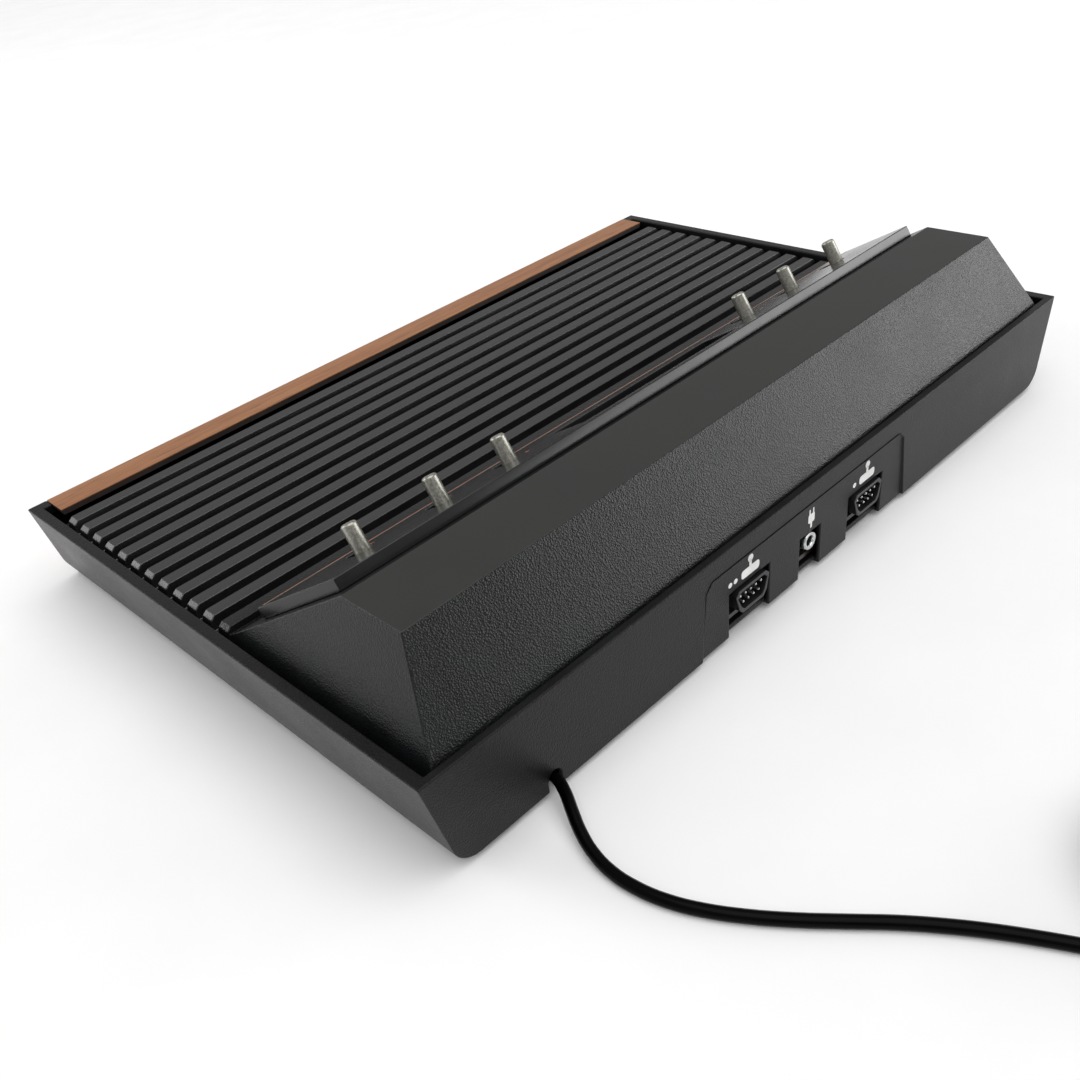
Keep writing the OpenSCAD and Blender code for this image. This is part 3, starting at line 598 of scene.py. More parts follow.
# Nylon, black with a slight sheen, for the sockets
NYLON = Moulded("nylon socket", "141415", "1e1e20", 0.32, 0.3, 0.008)
# Epoxy, moulded matt black, for chips and the regulator
EPOXY = Moulded("epoxy chip package", "151517", "1f1f22", 0.55, 0.25, 0.012)
# Plasticised PVC jacket: black, smooth and oily, with long thin highlights
JACKET = Moulded("PVC cord jacket", "020202", "040404", 0.25, 0.6, 0.003, 0.06, 9.0)
# Rubber, matt black with talc dust
RUBBER = Moulded("rubber foot", "222224", "303033", 0.7, 0.35, 0.02, 0.4)
# ABS, glossy black, for the plug's grip
PLUG = Moulded("ABS plug grip", "121214", "1a1a1c", 0.22, 0.35, 0.004)
# Acetal, ivory white and waxy, for the channel slider
ACETAL = Moulded("acetal slider", "d2cec2", "e0ddd3", 0.4, 0.4, 0.006)
# PVC sleeve shrunk over the capacitor's can: deep blue with a soft gloss
SLEEVE = Moulded("PVC capacitor sleeve", "1d3c66", "284c7c", 0.3, 0.5, 0.004)
# Paper, uncoated and white: the plain pale floor
PAPER = Moulded("white paper floor", "fcfcfc", "ffffff", 0.9, 1.5, 0.01, 0.1, 60.0)
# Screen-printed enamel ink: flat, slightly chalky colour with faint thin spots; the grey one is not ink but
# a painted highlight with the same finish
WHITE_INK = Moulded("white screen ink", "d9d9d6", "f0f0ee", 0.55, 0.2, 0.003)
# Painted highlight: a grey line for the light that the plate's glossy front edge catches
EDGE_HIGHLIGHT_PAINT = Moulded("grey painted edge highlight", "8d8e8c", "a2a3a1", 0.5, 0.2, 0.003)
ORANGE_INK = Moulded("orange screen ink", "b4622f", "c8733b", 0.5, 0.2, 0.003)
# Aluminium, cast in a worn die and left bare: mottled grey with dull bright patches
CAST = Metal("cast aluminium lever", "8f8e86", "b9b8ae", 0.36, 0.7, (1.0, 1.0, 1.0), 0.012)
# Aluminium, sand-cast shield box: even, dull, slightly rough
SHIELD = Metal("cast aluminium shield", "8c8e8d", "a8aaa9", 0.5, 1.5)
# Steel sheet, rolled and zinc plated: faint streaks along X
SHEET = Metal("zinc plated steel sheet", "8b8e90", "a9adaf", 0.34, 0.7, (0.15, 1.0, 1.0))
# Steel wire, drawn: bright with hair-fine lines along X
WIRE = Metal("drawn steel wire", "a2a3a5", "c4c6c8", 0.25, 0.3, (0.1, 1.0, 1.0))
# Steel, zinc plated, for the screws: bright, faintly blue
ZINC = Metal("zinc plated screw", "9da0a3", "bfc3c6", 0.3, 0.5)
# Steel, tin plated can: soft, greyer, with slow dull clouds
TIN = Metal("tinned steel can", "8f908e", "b0b1ae", 0.38, 3.0)
# Brass, tin plated: soft silver, a little dull
CONTACT = Metal("tin plated contact", "a5a6a6", "cfd0cf", 0.3, 0.4)
# Brass, nickel plated and polished: bright, with fine handling marks
NICKEL = Metal("nickel plated brass", "b9babb", "dddedf", 0.16, 0.8, (1.0, 1.0, 1.0), 0.003)
# Aluminium, extruded and bare, for the heat sink
SINK = Metal("extruded aluminium sink", "a3a5a7", "c3c5c7", 0.36, 0.6, (1.0, 1.0, 0.1))
# PVC film, printed as walnut and laid on the front: warm brown with thin dark pores, satin
WOOD = WoodPrint("printed woodgrain film")
# Glass fibre and epoxy laminate under green solder mask: semi-gloss, with paler tracks
BOARD = Laminate("glass fibre board")
# Phenolic paper board, brown-black, for the sockets: kept this dark partly as painted shade, so that the
# board behind the notches reads as the shadow inside the case
DARK_BOARD = Laminate("phenolic paper board with painted shade", "1c1712", "2c241b")
# Vinyl, drawn over parallel cores: mid grey with fine ridges along the cable, painted darker in the troughs
# as shade and lighter on the ridges as highlight
CABLE = Ribbed("flat vinyl cable")


def dress(piece: Object, finish: Finish) -> Object:
    """Gives every material slot of a piece one finish.

    Args:
        piece: a new piece or a CAD node's object.
        finish: the finish.

    Returns:
        The piece.
    """
    for holder in piece.material_slots:
        holder.material = finish.material()
    if not piece.material_slots:
        piece.data.materials.append(finish.material())
    return piece


class Body(Enum):
    """CAD bodies that pieces ride on."""

    CONSOLE = "console"
    POWER = "power_lever"
    TV_TYPE = "tv_type_lever"
    LEFT_DIFFICULTY = "left_difficulty_lever"
    RIGHT_DIFFICULTY = "right_difficulty_lever"
    SELECT = "select_lever"
    RESET = "reset_lever"
    SLIDER = "channel_slider"


@dataclass
class Assembly:
    """A sub-assembly: makes its pieces, dresses them and ties them to the CAD frame.

    The sizes in its fields are in millimetres, places are in the row frame, and turns are in degrees.
    """

    nodes: dict[str, Object]

    def settle(self, piece: Object, finish: Finish, slot: str, replaced: tuple[str, ...] = (),
               body: Body = Body.CONSOLE) -> Object:
        """Dresses a new piece, ties it to its body and hides the CAD nodes that it stands for.

        Args:
            piece: the new piece.
            finish: its finish.
            slot: the record's material slot; not used.
            replaced: CAD nodes that it stands for.
            body: the CAD body it rides on.

        Returns:
            The piece.
        """
        dress(piece, finish)
        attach(piece, body.value)
        if replaced:
            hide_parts(*replaced)
        LOG.info("%s: %s faces, rides on %s", piece.name, len(getattr(piece.data, "polygons", [])),
                 body.value)
        return piece

    def keep(self, finish: Finish, *names: str) -> None:
        """Dresses CAD nodes whose shape is right as it is."""
        for name in names:
            dress(self.nodes[name], finish)
            LOG.info("%s: kept, dressed as %s", name, finish.name)


# ---------------------------------------------------------------- aerial cord
@dataclass
class Cord(Assembly):
    """Captive aerial cord: its route along the table, its stored coil, the tie round it and its plug."""

    diameter: float = 3.8
    route: tuple[Point, ...] = (
        (127.4, 116, 6.6), (128.2, 120.5, 6.5), (130.3, 125.5, 5.9), (133.2, 130.5, 5), (136.4, 136.5, 3.7),
        (139, 143.5, 2.5), (140.4, 151.5, 1.9), (140.2, 160, 1.9), (138.4, 168.5, 1.9), (134.8, 177.5, 1.9),
        (129.2, 187.5, 1.9), (122.4, 197.5, 1.9), (115, 207.2, 1.9), (107.6, 216.8, 1.9), (101, 226.5, 1.9),
        (95.4, 235.8, 1.9), (91, 244, 1.9), (87, 252, 1.9), (83.1, 260.1, 1.9), (79.3, 268.2, 2.1),
        (75.5, 276.4, 2.3))
    tail: tuple[Point, ...] = (
        (37, 300.2, 13.6), (28.5, 298.8, 11.4), (20.5, 296.6, 7.4), (13, 294, 3.8), (5.5, 291.4, 2.2),
        (-2.5, 288.8, 2.1), (-10.5, 286.6, 3), (-18, 285, 4.6), (-25, 284, 5.5))
    centre: tuple[float, float] = (46.0, 272.0)
    radii: tuple[float, ...] = (28.6, 24.8, 21.0, 17.2, 13.4)
    layers: int = 4
    lowest: float = 2.5
    first_turn: float = 25.9
    shift: float = 70.0
    last_turn: float = 64.1
    plug_turn: float = 188.0
    tie_turn: float = 215.0
    tie_section: tuple[float, float] = (0.3, 2.9)
    grip_r: float = 5.45
    groove_r: float = 4.95
    grooves: int = 6

    def winding(self) -> Array:
        """Points of the coil, 18 to a turn.

        Each turn keeps its radius, and over its first 70 degrees it eases from the last turn's radius and
        height to its own: value = last + (own - last) s, with s = 6 u^5 - 15 u^4 + 10 u^3.

        Returns:
            Array (points, 3) in millimetres.
        """
        rows = [r for k in range(self.layers) for r in (self.radii if k % 2 == 0 else self.radii[::-1])]
        heights = np.repeat(self.lowest + self.diameter * np.arange(self.layers), len(self.radii))
        radius = np.array([rows[0]] + rows)
        height = np.array([heights[0]] + list(heights))
        turn = np.arange(0, 360 * len(rows) + self.last_turn, 20.0)
        which = np.minimum((turn // 360).astype(int), len(rows) - 1)
        u = np.clip((turn - 360 * which) / self.shift, 0, 1)
        s = u ** 3 * (10 - 15 * u + 6 * u * u)
        r = radius[which] + (radius[which + 1] - radius[which]) * s
        z = height[which] + (height[which + 1] - height[which]) * s
        a = np.radians(self.first_turn + turn)
        return np.stack([self.centre[0] + r * np.cos(a), self.centre[1] + r * np.sin(a), z], axis=1)

    def line(self) -> Array:
        """The whole centreline: route, winding and tail, one after another."""
        return np.concatenate([np.array(self.route, float), self.winding(), np.array(self.tail, float)])

    def cord(self) -> Object:
        """The jacket as one curve of one open spline with smooth handles.

        Returns:
            The linked curve object.
        """
        points = self.line() * MM
        data = bpy.data.curves.new("aerial_cord", "CURVE")
        data.dimensions = "3D"
        spline = data.splines.new("BEZIER")
        spline.bezier_points.add(len(points) - 1)
        spline.bezier_points.foreach_set("co", points.ravel())
        for knot in spline.bezier_points:
            knot.handle_left_type = knot.handle_right_type = "AUTO"
        data.bevel_depth = self.diameter / 2 * MM
        data.bevel_resolution = 3
        data.resolution_u = 4
        data.use_fill_caps = True
        return linked("aerial_cord", data)

    def tie(self) -> Object:
        """Soft band round the coil's bundle: a flat oval section carried round a rounded rectangle.

        The section is (a cos^0.6 t, b sin^0.5 t), signs kept: a is half its thickness, b half its width.

        Returns:
            The piece.
        """
        a = math.radians(self.tie_turn)
        out, along = np.array([math.cos(a), math.sin(a), 0]), np.array([-math.sin(a), math.cos(a), 0])
        loop = rectangle(11.25, 30.75, 0.3, 16.1, 1.6, 6)
        t = np.linspace(0, 2 * math.pi, 16, endpoint=False)
        thick, wide = self.tie_section
        offsets = thick * np.sign(np.cos(t)) * np.abs(np.cos(t)) ** 0.6
        sides = wide * np.sign(np.sin(t)) * np.abs(np.sin(t)) ** 0.5
        rings = []
        for depth, side in zip(offsets, sides):
            edge = inset(loop, -depth)
            rings.append(np.array([*self.centre, 0]) + edge[:, :1] * out + side * along
                         + edge[:, 1:] * np.array([0, 0, 1.0]))
        return gather("coil_tie_band", [(np.array(rings).transpose(1, 0, 2), True)], 50)

    def plug(self) -> list[Object]:
        """Grip with turned finger grooves, outer shell and rounded pin, each turned on the plug's axis.

        Returns:
            Grip, shell and pin.
        """
        a = math.radians(self.plug_turn)
        axis = (math.cos(a), math.sin(a), 0.0)
        foot = np.array(self.tail[-1], float)
        grip = [(1.95, -0.01), (2.6, 0.0), (2.9, 6.0), (3.0, 8.0), (5.1, 10.0)]
        for k in range(self.grooves):
            start = 10.9 + 2 * k
            grip += [(self.grip_r, start), (self.grip_r, start + 1.1), (self.groove_r, start + 1.35),
                     (self.groove_r, start + 1.75)]
        grip += [(self.grip_r, 22.9), (self.grip_r, 23.3), (5.0, 24.0), (4.12, 24.0), (4.12, 22.05),
                 (1.0, 22.05)]
        shell = [(3.5, 22.1), (4.05, 22.1), (4.05, 30.3), (3.9, 30.5), (3.65, 30.5), (3.5, 30.35),
                 (3.5, 23.0)]
        pin = [(1.55, 23.02), (1.6, 23.2), (1.6, 35.6), (1.5, 36.4), (1.2, 37.0), (0.7, 37.35),
               (0.2, 37.42)]
        return [put("plug_grip", *skin(lathe(rounded(grip, 0.25), foot, axis, 48))),
                put("plug_outer_shell", *skin(lathe(shell, foot, axis, 48), looped=True)),
                put("plug_centre_pin", *skin(lathe(pin, foot, axis, 24)))]

    def build(self) -> None:
        cord = self.settle(self.cord(), JACKET, "cord_rubber", ("rf_cord", "cord_coil", "cord_tail"))
        tie = self.settle(self.tie(), RUBBER, "cord_rubber", ("coil_tie",))
        grip, shell, pin = self.plug()
        self.settle(grip, PLUG, "plug_black", ("plug_body",))
        self.settle(shell, NICKEL, "plug_metal", ("plug_shell",))
        self.settle(pin, NICKEL, "plug_metal", ("plug_pin",))
        steps = np.linalg.norm(np.diff(self.line(), axis=0), axis=1)
        self.keep(JACKET, "cord_lead")
        self.keep(INNER, "cord_clamp")


# ---------------------------------------------------------------- case
@dataclass
class Case(Assembly):
    """Tray, ribbed shell with the hump, front panel and its woodgrain film."""

    half: float = 173.0
    rim_z: float = 39.0
    tray_z: float = 2.2
    lean: float = 8.1
    front_y: float = -120.0
    front_lean: float = 8.7
    sill_z: float = 9.0
    back_edge_y: float = -98.2
    side: float = 7.8
    nose: float = 1.4
    film: float = 0.35
    board: float = 2.1
    hump_z: float = 67.3
    hump_foot_y: float = 14.0

    def half_at(self, z: Array | float) -> Array | float:
        """Half width of the front panel at height z."""
        return self.half - self.lean * (self.rim_z - z) / (self.rim_z - self.tray_z) - self.side

    def face_at(self, z: float) -> float:
        """Y of the leaning front face at height z."""
        return self.front_y + self.front_lean * (z - self.tray_z) / (self.rim_z - self.tray_z)

    def bent_sheet(self, name: str, back: float, thick: float, nose: float) -> Object:
        """Sheet that climbs the front face, turns over a rounded nose and runs back to the deck.

        Its outline in Y and Z is carried along X between ends that follow the panel's half width.

        Args:
            name: name of the piece.
            back: distance of the sheet's outer face behind the panel's outermost face.
            thick: thickness of the sheet.
            nose: radius at which the outer face turns over the edge.

        Returns:
            The piece.
        """
        top = self.rim_z + self.film - back
        low_y, high_y = self.face_at(self.sill_z) + back, self.face_at(self.rim_z) + back
        outer = rounded([(low_y, self.sill_z), (high_y, top), (self.back_edge_y, top)], nose, 6)
        inner = rounded([(self.back_edge_y, top - thick), (high_y + thick, top - thick),
                         (low_y + thick, self.sill_z)], max(nose - thick, 0.1), 6)
        loop = np.array(outer + inner)[::-1]
        ends = self.half_at(loop[:, 1])
        share = np.linspace(-1, 1, 9)[:, None]
        size = (len(share), len(loop))
        rings = np.stack([share * ends, np.broadcast_to(loop[:, 0], size),
                          np.broadcast_to(loop[:, 1], size)], axis=-1)
        return put(name, *skin(rings))

    def zones(self, shell: Object) -> None:
        """Gives the hump's top and the deck their own finishes, by the height and lean of each face. The
        deck's near-black finish is partly painted shade for the grooves.

        Args:
            shell: the ribbed shell.
        """
        faces = shell.data.polygons
        normals, centres = np.empty(len(faces) * 3), np.empty(len(faces) * 3)
        faces.foreach_get("normal", normals)
        faces.foreach_get("center", centres)
        up, y, z = normals[2::3], centres[1::3] / MM, centres[2::3] / MM
        zone = np.where((up > 0.99) & (z > self.hump_z - 0.5), 1, 0)
        # Deck, ribs and grooves alike: the near-black rib finish, partly painted shade for the grooves
        zone = np.where((z < self.rim_z) & (y < self.hump_foot_y), 2, zone)
        shell.data.materials.append(LAND.material())
        shell.data.materials.append(RIB.material())
        faces.foreach_set("material_index", zone.astype(np.int32))

    def build(self) -> None:
        """Makes and dresses the case."""
        nodes = self.nodes
        self.settle(softened("tray", nodes["bottom_tub"], 0.55, 3), TUB, "tub_plastic", ("bottom_tub",))
        self.zones(self.settle(softened("ribbed_shell", nodes["top_shell"], 0.4, 2), SHELL, "shell_plastic",
                               ("top_shell",)))
        self.settle(self.bent_sheet("panel_board", self.film, self.board, 1.0), PANEL, "panel_plastic",
                    ("front_panel",))
        self.settle(self.bent_sheet("wood_film", 0.0, self.film, self.nose), WOOD, "woodgrain",
                    ("woodgrain_film",))


@dataclass
class SwitchPlate(Assembly):
    """Plate on the slope with a printed orange line and a grey line of painted highlight along its front
    edge, and the cartridge way under its opening.
    """

    top: float = 4.3
    # Down the slope: first the grey line of painted highlight, then the printed orange line
    line_v: tuple[float, float] = (44.3, 45.5)
    line_half: float = 157.5
    marks: tuple[float, ...] = (-127.8, -95.404, -65.5, 65.5, 95.404, 127.8)
    ink: float = 0.03
    bite: float = 0.02
    switching: int = 4

    def mark(self, shape: Array) -> Skin:
        """One mark given by its outline on the plate, with its foot just inside the plate: the print, and
        also the grey line of painted highlight.
        """
        return prism(shape, self.top - self.bite, self.top + self.ink, 0, SLOPE.place), False

    def stripe(self, v: float, wide: float) -> Skin:
        """One line across the plate: used for the printed orange line and for the grey line of painted
        highlight.
        """
        return self.mark(rectangle(-self.line_half, self.line_half, -v - wide / 2, -v + wide / 2))

    def throws(self) -> Object:
        """Marks beside the levers: a dot and a bar for throws, a triangle for pushes.

        Returns:
            The piece.
        """
        skins = []
        for k, x in enumerate(self.marks):
            if k < self.switching:
                skins.append(self.mark(disc(x - 6.5, -26.2, 0.8)))
                skins.append(self.mark(rectangle(x - 7.6, x - 5.4, -34.9, -34.1, 0.35)))
            else:
                skins.append(self.mark(np.array([[x - 7.4, -33.6], [x - 6.4, -35.4], [x - 5.4, -33.6]])))
        return gather("throw_marks", skins)

    def build(self) -> None:
        """Makes and dresses the plate, its print, its grey line of painted highlight and the cartridge way.
        """
        nodes = self.nodes
        self.settle(softened("lever_plate", nodes["switch_plate"], 0.4, 3), PLATE, "plate_plastic",
                    ("switch_plate",))
        # Painted highlight: this grey line stands in for the light on the plate's glossy front edge
        self.settle(gather("painted_highlight_line", [self.stripe(self.line_v[0], 0.5)]), EDGE_HIGHLIGHT_PAINT, "plate_plastic")
        self.settle(gather("orange_line", [self.stripe(self.line_v[1], 0.7)]), ORANGE_INK,
                    "plate_plastic")
        self.settle(self.throws(), ORANGE_INK, "plate_plastic")
        self.settle(softened("cartridge_way", nodes["cartridge_chute"], 0.3), INNER, "inner_plastic",
                    ("cartridge_chute",))
        self.settle(softened("edge_connector", nodes["cartridge_connector"], 0.4), PHENOLIC,
                    "connector_plastic", ("cartridge_connector",))


@dataclass
class Levers(Assembly):
    """Six cast levers on their pivot pins in sheet-metal frames, two with return springs."""

    lever_v: float = 28.5
    pivot_n: float = -9.0
    sprung: tuple[float, float] = (95.404, 127.8)
    wire: float = 0.28
    turns: float = 3.0
    spring_r: float = 1.9
    spring_x: float = 4.3
    spring_long: float = 1.0

    def spring(self, x: float) -> Skin:
        """Torsion spring: a tube round the helix (x + pitch t, r cos t, r sin t).

        Args:
            x: the lever's middle.

        Returns:
            The spring's skin.
        """
        t = np.linspace(0, 2 * math.pi * self.turns, 73)
        local = np.stack([x + self.spring_x + self.spring_long * t / t[-1],
                          -self.lever_v + self.spring_r * np.cos(t),
                          self.pivot_n + self.spring_r * np.sin(t)], axis=1)
        return tube(SLOPE.place(local), self.wire, np.array([1.0, 0, 0]), 8), False

    def build(self) -> None:
        """Makes and dresses the levers and what carries them."""
        for body in Body:
            if body not in (Body.CONSOLE, Body.SLIDER):
                name = body.value
                self.settle(softened(name + "_casting", self.nodes[name], 0.35, 3), CAST, "lever_metal",
                            (name,), body)
                self.keep(SHEET, name.replace("_lever", "_switch"))
        self.settle(gather("torsion_springs", [self.spring(x) for x in self.sprung], 60), WIRE, "pin_steel",
                    ("return_springs",))
        self.keep(WIRE, "lever_pins")


@dataclass
class Sockets(Assembly):
    """Two nine-way controller sockets, the power socket, their printed signs and their board."""

    port_x: float = 34.2
    port_z: float = 15.0
    mouth_y: float = 120.0
    pin_r: float = 0.5
    pitch: float = 2.77
    row: float = 2.84
    pin_foot_y: float = 108.0
    pin_back: float = 0.8
    bush_foot_y: float = 105.4
    wall_y: float = 117.9
    wall_lean: float = 1.546 / 31.5
    sign_z: float = 22.4
    sign_scale: float = 1.4

    def contacts(self, x: float) -> Object:
        """Nine pins with rounded tips, five above four.

        Args:
            x: the socket's middle.

        Returns:
            The piece.
        """
        places = [(k * self.pitch, self.row / 2) for k in (-2, -1, 0, 1, 2)]
        places += [(k * self.pitch, -self.row / 2) for k in (-1.5, -0.5, 0.5, 1.5)]
        length = self.mouth_y - self.pin_back - self.pin_foot_y
        profile = [(self.pin_r, 0.0), (self.pin_r, length - 0.45), (self.pin_r * 0.85, length - 0.16),
                   (self.pin_r * 0.45, length)]
        feet = [np.array([x + dx, self.pin_foot_y, self.port_z + dz]) for dx, dz in places]
        return gather(f"contact_pins_{'right' if x > 0 else 'left'}",
                      [(lathe(profile, foot, (0, 1, 0), 14), False) for foot in feet])

    def bush(self) -> Object:
        """Jack bush: a ring with a rolled lip and a chamfered mouth, carried back as a closed sleeve.

        Its second material slot is for the dark insulator inside the bore.

        Returns:
            The piece.
        """
        profile = [(3.45, 0.0), (3.45, 12.9), (3.2, 13.3), (2.6, 13.4), (2.1, 13.2), (1.82, 12.7),
                   (1.8, 1.4), (0.3, 1.4), (0.3, 0.0)]
        steps = 48
        foot = np.array([0, self.bush_foot_y, self.port_z + 0.4])
        ring = put("jack_ring", *skin(lathe(profile, foot, (0, 1, 0), steps), looped=True))
        for finish in (NICKEL, NYLON):
            ring.data.materials.append(finish.material())
        bore = np.repeat(np.arange(len(profile)) >= 5, steps)
        ring.data.polygons.foreach_set("material_index", bore.astype(np.int32))
        return ring

    def sign(self, x: float, shapes: list[Array]) -> list[Skin]:
        """White signs on the recessed wall above a socket.

        Args:
            x: the socket's middle.
            shapes: outlines across and up, from the sign's foot.

        Returns:
            One skin for each outline.
        """
        def place(p: Array) -> Array:
            """Turns (across, up, out) towards +Y, so that it reads from behind the console."""
            z = self.sign_z + p[..., 1]
            wall = self.wall_y + self.wall_lean * z
            return np.stack([x - p[..., 0], wall + p[..., 2], z], axis=-1)
        return [(prism(shape * self.sign_scale, -0.05, 0.06, 0, place), False) for shape in shapes]

    def signs(self) -> Object:
        """Generic signs: a hand controller with one dot or two, and a plug with two prongs.

        Returns:
            The piece.
        """
        pad = [rectangle(-3.4, 3.4, 0.0, 2.4, 0.8), rectangle(-0.45, 0.45, 2.35, 4.2, 0.2),
               disc(0, 4.6, 1.0)]
        skins = self.sign(-self.port_x, pad + [disc(-5.6, 1.2, 0.7)])
        skins += self.sign(self.port_x, pad + [disc(-5.6, 1.2, 0.7), disc(-7.6, 1.2, 0.7)])
        power = [rectangle(-1.3, 1.3, 0.6, 3.2, 0.5), rectangle(-0.35, 0.35, -0.9, 0.6, 0.1),
                 rectangle(-1.0, -0.5, 3.2, 4.6, 0.1), rectangle(0.5, 1.0, 3.2, 4.6, 0.1)]
        return gather("socket_signs", skins + self.sign(0, power))

    def build(self) -> None:
        """Makes and dresses the sockets."""
        for side, x in (("left", -self.port_x), ("right", self.port_x)):
            node = f"{side}_controller_socket"
            self.settle(softened(f"{side}_port_shroud", self.nodes[node], 0.25), NYLON, "socket_black",
                        (node,))
            self.settle(self.contacts(x), CONTACT, "contact_metal", (f"{side}_contacts",))
        self.settle(softened("power_socket", self.nodes["power_jack"], 0.3), NYLON, "socket_black",
                    ("power_jack",))
        bush = self.settle(self.bush(), NICKEL, "bush_metal", ("jack_bush",))
        bush.material_slots[1].material = NYLON.material()
        self.settle(self.signs(), WHITE_INK, "tub_plastic")
        # Painted shade: the socket board is kept brown-black so that it reads as shadow behind the notches
        self.keep(DARK_BOARD, "socket_board")


@dataclass
class Electronics(Assembly):
    """Boards, shield, chips, modulator and channel switch inside the case."""

    can_y: float = 93.5
    cans: tuple[float, float] = (-20.0, -12.0)
    can_foot: float = 7.8

    def capacitors(self) -> Object:
        """Two sleeved cans with a rolled groove near the foot and a crimped top.

        Returns:
            The piece.
        """
        profile = rounded([(3.3, 0.0), (3.6, 0.3), (3.6, 1.2), (3.25, 1.6), (3.6, 2.0), (3.6, 10.6),
                           (3.2, 11.0), (2.6, 10.8), (0.3, 10.8)], 0.3)
        feet = [np.array([x, self.can_y, self.can_foot]) for x in self.cans]
        return gather("sleeved_capacitors", [(lathe(profile, foot, (0, 0, 1), 32), False)
                                             for foot in feet])

    def build(self) -> None:
        """Makes and dresses what is inside the case."""
        self.settle(self.capacitors(), SLEEVE, "capacitor_sleeve", ("filter_capacitors",))
        self.settle(softened("modulator_can", self.nodes["rf_modulator"], 0.3), TIN, "can_metal",
                    ("rf_modulator",))
        self.settle(softened("slider_knob", self.nodes["channel_slider"], 0.3), ACETAL, "slider_white",
                    ("channel_slider",), Body.SLIDER)
        self.keep(BOARD, "switch_board", "main_board")
        self.keep(SHIELD, "shield_bottom", "shield_top")
        self.keep(EPOXY, "processor_chip", "video_chip", "io_chip", "voltage_regulator")
        self.keep(CABLE, "ribbon_cable")
        self.keep(SINK, "heat_sink")
        self.keep(SHEET, "channel_switch")


@dataclass
class Underside(Assembly):
    """Feet and screws under the tray."""

    foot_x: float = 147.0
    foot_y: tuple[float, float] = (-94.0, 86.0)
    screw_x: float = 149.0
    head_r: float = 3.1
    recess: float = 1.1
    blade: float = 0.38

    def feet(self) -> Object:
        """Four feet with a rolled lower edge and a shallow dish.

        Returns:
            The piece.
        """
        profile = rounded([(0.5, 0.35), (3.6, 0.35), (4.2, 0.0), (6.0, 0.0), (6.8, 0.8), (7.0, 2.95),
                           (0.5, 2.95)], 0.5)
        feet = [np.array([side * self.foot_x, y, 0.0]) for y in self.foot_y for side in (-1, 1)]
        return gather("soft_feet", [(lathe(profile, foot, (0, 0, 1), 40), False) for foot in feet])

    def screws(self) -> Object:
        """Four pan-head screws whose heads have a cross recess.

        The head's face lies at z = dome + cut, where the cut is deep inside two crossed bars.

        Returns:
            The piece.
        """
        low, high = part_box("case_screws")
        front, back = low[1] / MM + self.head_r, high[1] / MM - self.head_r
        foot = low[2] / MM
        top = high[2] / MM
        t = np.linspace(0, 2 * math.pi, 64, endpoint=False)[None, :]
        r = np.array([0.05, 0.3, 0.5, 0.7, 0.9, 1.1, 1.3, 1.6, 2.2, 2.8, 3.05])[:, None]
        x, y = r * np.sin(t), -r * np.cos(t)
        bar = np.minimum(np.abs(x), np.abs(y)) + 0.35 * np.maximum(r - 1.2, 0)
        cut = self.recess / (1 + np.exp((bar - self.blade) * 14)) * (r < 1.7)
        z = 0.05 + 0.25 * (r / self.head_r) ** 4 + cut
        skins = []
        for cx in (-self.screw_x, self.screw_x):
            for cy in (front, back):
                head = np.stack([cx + x, cy + y, foot + z], axis=-1)
                rest = lathe([(self.head_r, 0.5), (self.head_r, 1.85), (1.5, 1.87), (1.5, top - foot)],
                             np.array([cx, cy, foot]), (0, 0, 1), 64)
                skins.append((np.concatenate([head, rest]), False))
        return gather("cross_head_screws", skins)

    def build(self) -> None:
        """Makes and dresses the underside."""
        self.settle(self.feet(), RUBBER, "foot_rubber", ("rubber_feet",))
        self.settle(self.screws(), ZINC, "screw_steel", ("case_screws",))
        self.keep(ZINC, "board_screws")


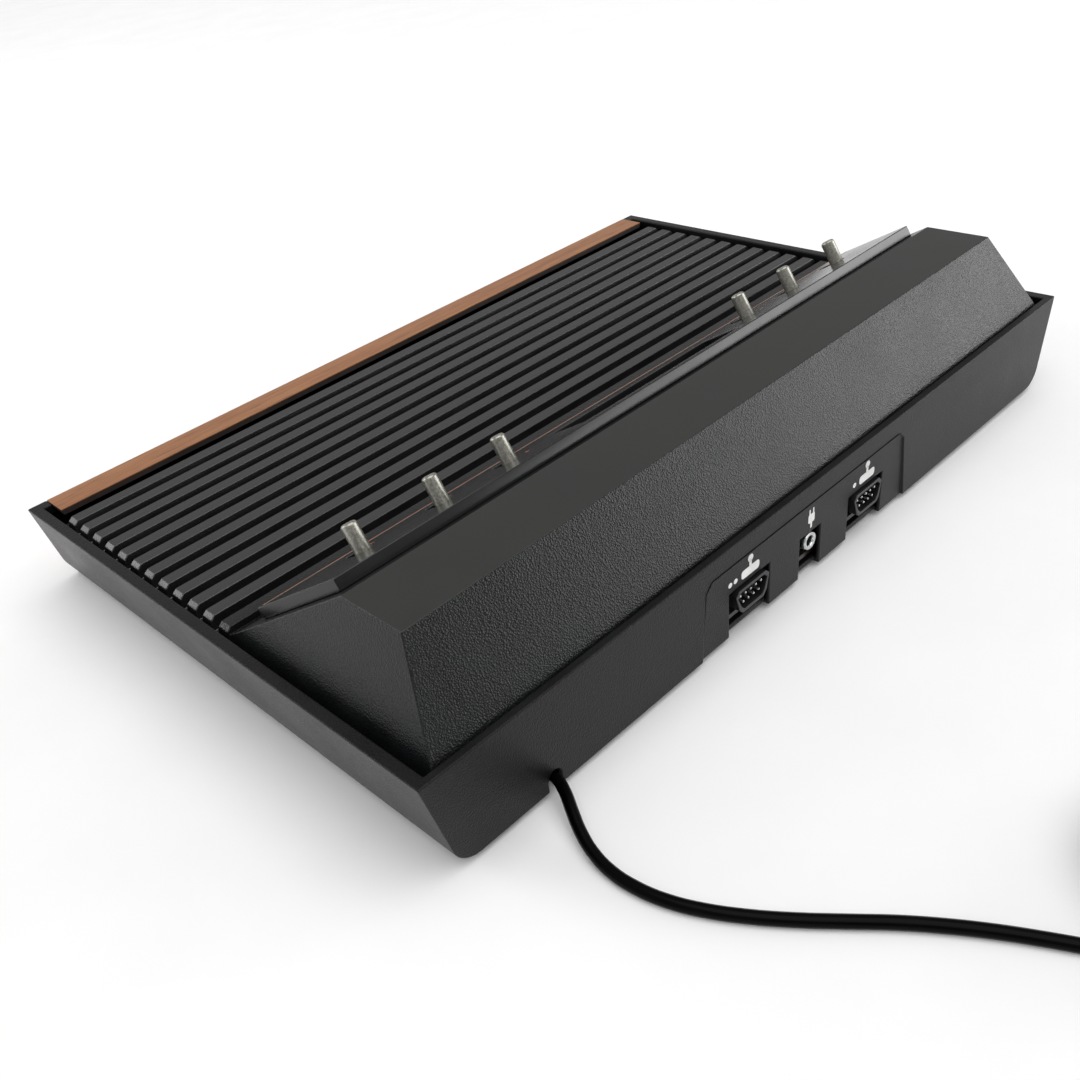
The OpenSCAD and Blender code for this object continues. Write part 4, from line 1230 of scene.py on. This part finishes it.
# ---------------------------------------------------------------- studio
@dataclass
class Studio:
    """Plain white room: pale floor, an even room light, two soft boxes, a top light and the camera.

    The eye and the target are in millimetres; the floor and the lights are in metres.
    """

    lens: float = 38.5
    eye: Point = (276.7, 304.13, 247.64)
    target: Point = (75.8, 66.8, 39.0)
    roll: float = math.radians(-8.75)
    floor_half: float = 12.0
    room_level: float = 0.5
    room_back: float = 0.15
    boxes: tuple[tuple[str, Point, tuple[float, float], float], ...] = (
        ("side box", (-1.2, 1.0, 0.32), (1.1, 0.5), 8.5),
        ("low box", (0.9, -1.25, 0.62), (0.8, 0.5), 5.5))
    aim: Point = (0, 0, 0.03)
    sky: float = 1.6
    sky_angle: float = math.radians(70)
    sky_lean: float = math.radians(-18)

    def camera(self) -> None:
        """Camera that looks from the eye at the target, rolled about its own axis."""
        eye, target = Vector(self.eye) * MM, Vector(self.target) * MM
        ahead = (target - eye).normalized()
        right = ahead.cross(Vector((0, 0, 1))).normalized()
        up = right.cross(ahead)
        turned = (math.cos(self.roll) * right + math.sin(self.roll) * up,
                  -math.sin(self.roll) * right + math.cos(self.roll) * up, -ahead)
        data = bpy.data.cameras.new("camera")
        data.lens = self.lens
        data.sensor_width = 36
        data.clip_start = 0.01
        camera = linked("camera", data)
        camera.matrix_world = Matrix.Translation(eye) @ Matrix(turned).transposed().to_4x4()
        bpy.context.scene.camera = camera

    def floor(self) -> None:
        """Pale paper sweep under the console."""
        half = self.floor_half
        mesh = bpy.data.meshes.new("floor")
        corners = [(-half, -half, 0), (half, -half, 0), (half, half, 0), (-half, half, 0)]
        mesh.from_pydata(corners, [], [(0, 1, 2, 3)])
        floor = linked("floor", mesh)
        dress(floor, PAPER)

    def room(self) -> None:
        """Even room light that is dimmer behind the console, and white where it is seen."""
        world = bpy.data.worlds.new("studio")
        bpy.context.scene.world = world
        world.use_nodes = True
        tree = world.node_tree
        where = add(tree, "TexCoord").outputs["Generated"]
        y = add(tree, "SeparateXYZ", {0: where}).outputs[1]
        level = add(tree, "MapRange", {0: y, 1: 0.3, 2: 0.95, 3: self.room_level,
                                       4: self.room_back}).outputs[0]
        seen = add(tree, "LightPath").outputs["Is Camera Ray"]
        strength = add(tree, "Mix", {0: seen, 2: level, 3: 1.0}).outputs[0]
        back = tree.nodes["Background"]
        back.inputs[0].default_value = (1.0, 1.0, 1.0, 1.0)
        tree.links.new(strength, back.inputs[1])

    def soft_box(self, name: str, at: Point, size: tuple[float, float], watts: float) -> None:
        """Rectangular soft light that faces the console.

        Args:
            name: name of the light.
            at: its middle, in metres.
            size: its width and height, in metres.
            watts: its power.
        """
        data = bpy.data.lights.new(name, "AREA")
        data.shape = "RECTANGLE"
        data.size, data.size_y = size
        data.energy = watts
        facing = (Vector(self.aim) - Vector(at)).to_track_quat("-Z", "Y")
        linked(name, data).matrix_world = Matrix.Translation(at) @ facing.to_matrix().to_4x4()

    def top_light(self) -> None:
        """Very large overhead light, even over the whole floor."""
        data = bpy.data.lights.new("top light", "SUN")
        data.energy = self.sky
        data.angle = self.sky_angle
        linked("top light", data).matrix_world = Matrix.Rotation(self.sky_lean, 4, "X")

    def build(self) -> None:
        """Sets the whole studio."""
        self.camera()
        self.floor()
        self.room()
        for box in self.boxes:
            self.soft_box(*box)
        self.top_light()
        bpy.context.scene.view_settings.view_transform = "Standard"


def main() -> None:
    """Builds the console round the CAD frame and sets the studio."""
    logging.basicConfig(level=logging.INFO, format="%(name)s %(message)s")
    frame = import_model()
    nodes = frame["nodes"]
    Studio().build()
    Cord(nodes).build()
    Case(nodes).build()
    SwitchPlate(nodes).build()
    Levers(nodes).build()
    Sockets(nodes).build()
    Electronics(nodes).build()
    Underside(nodes).build()


if __name__ == "__main__":
    main()
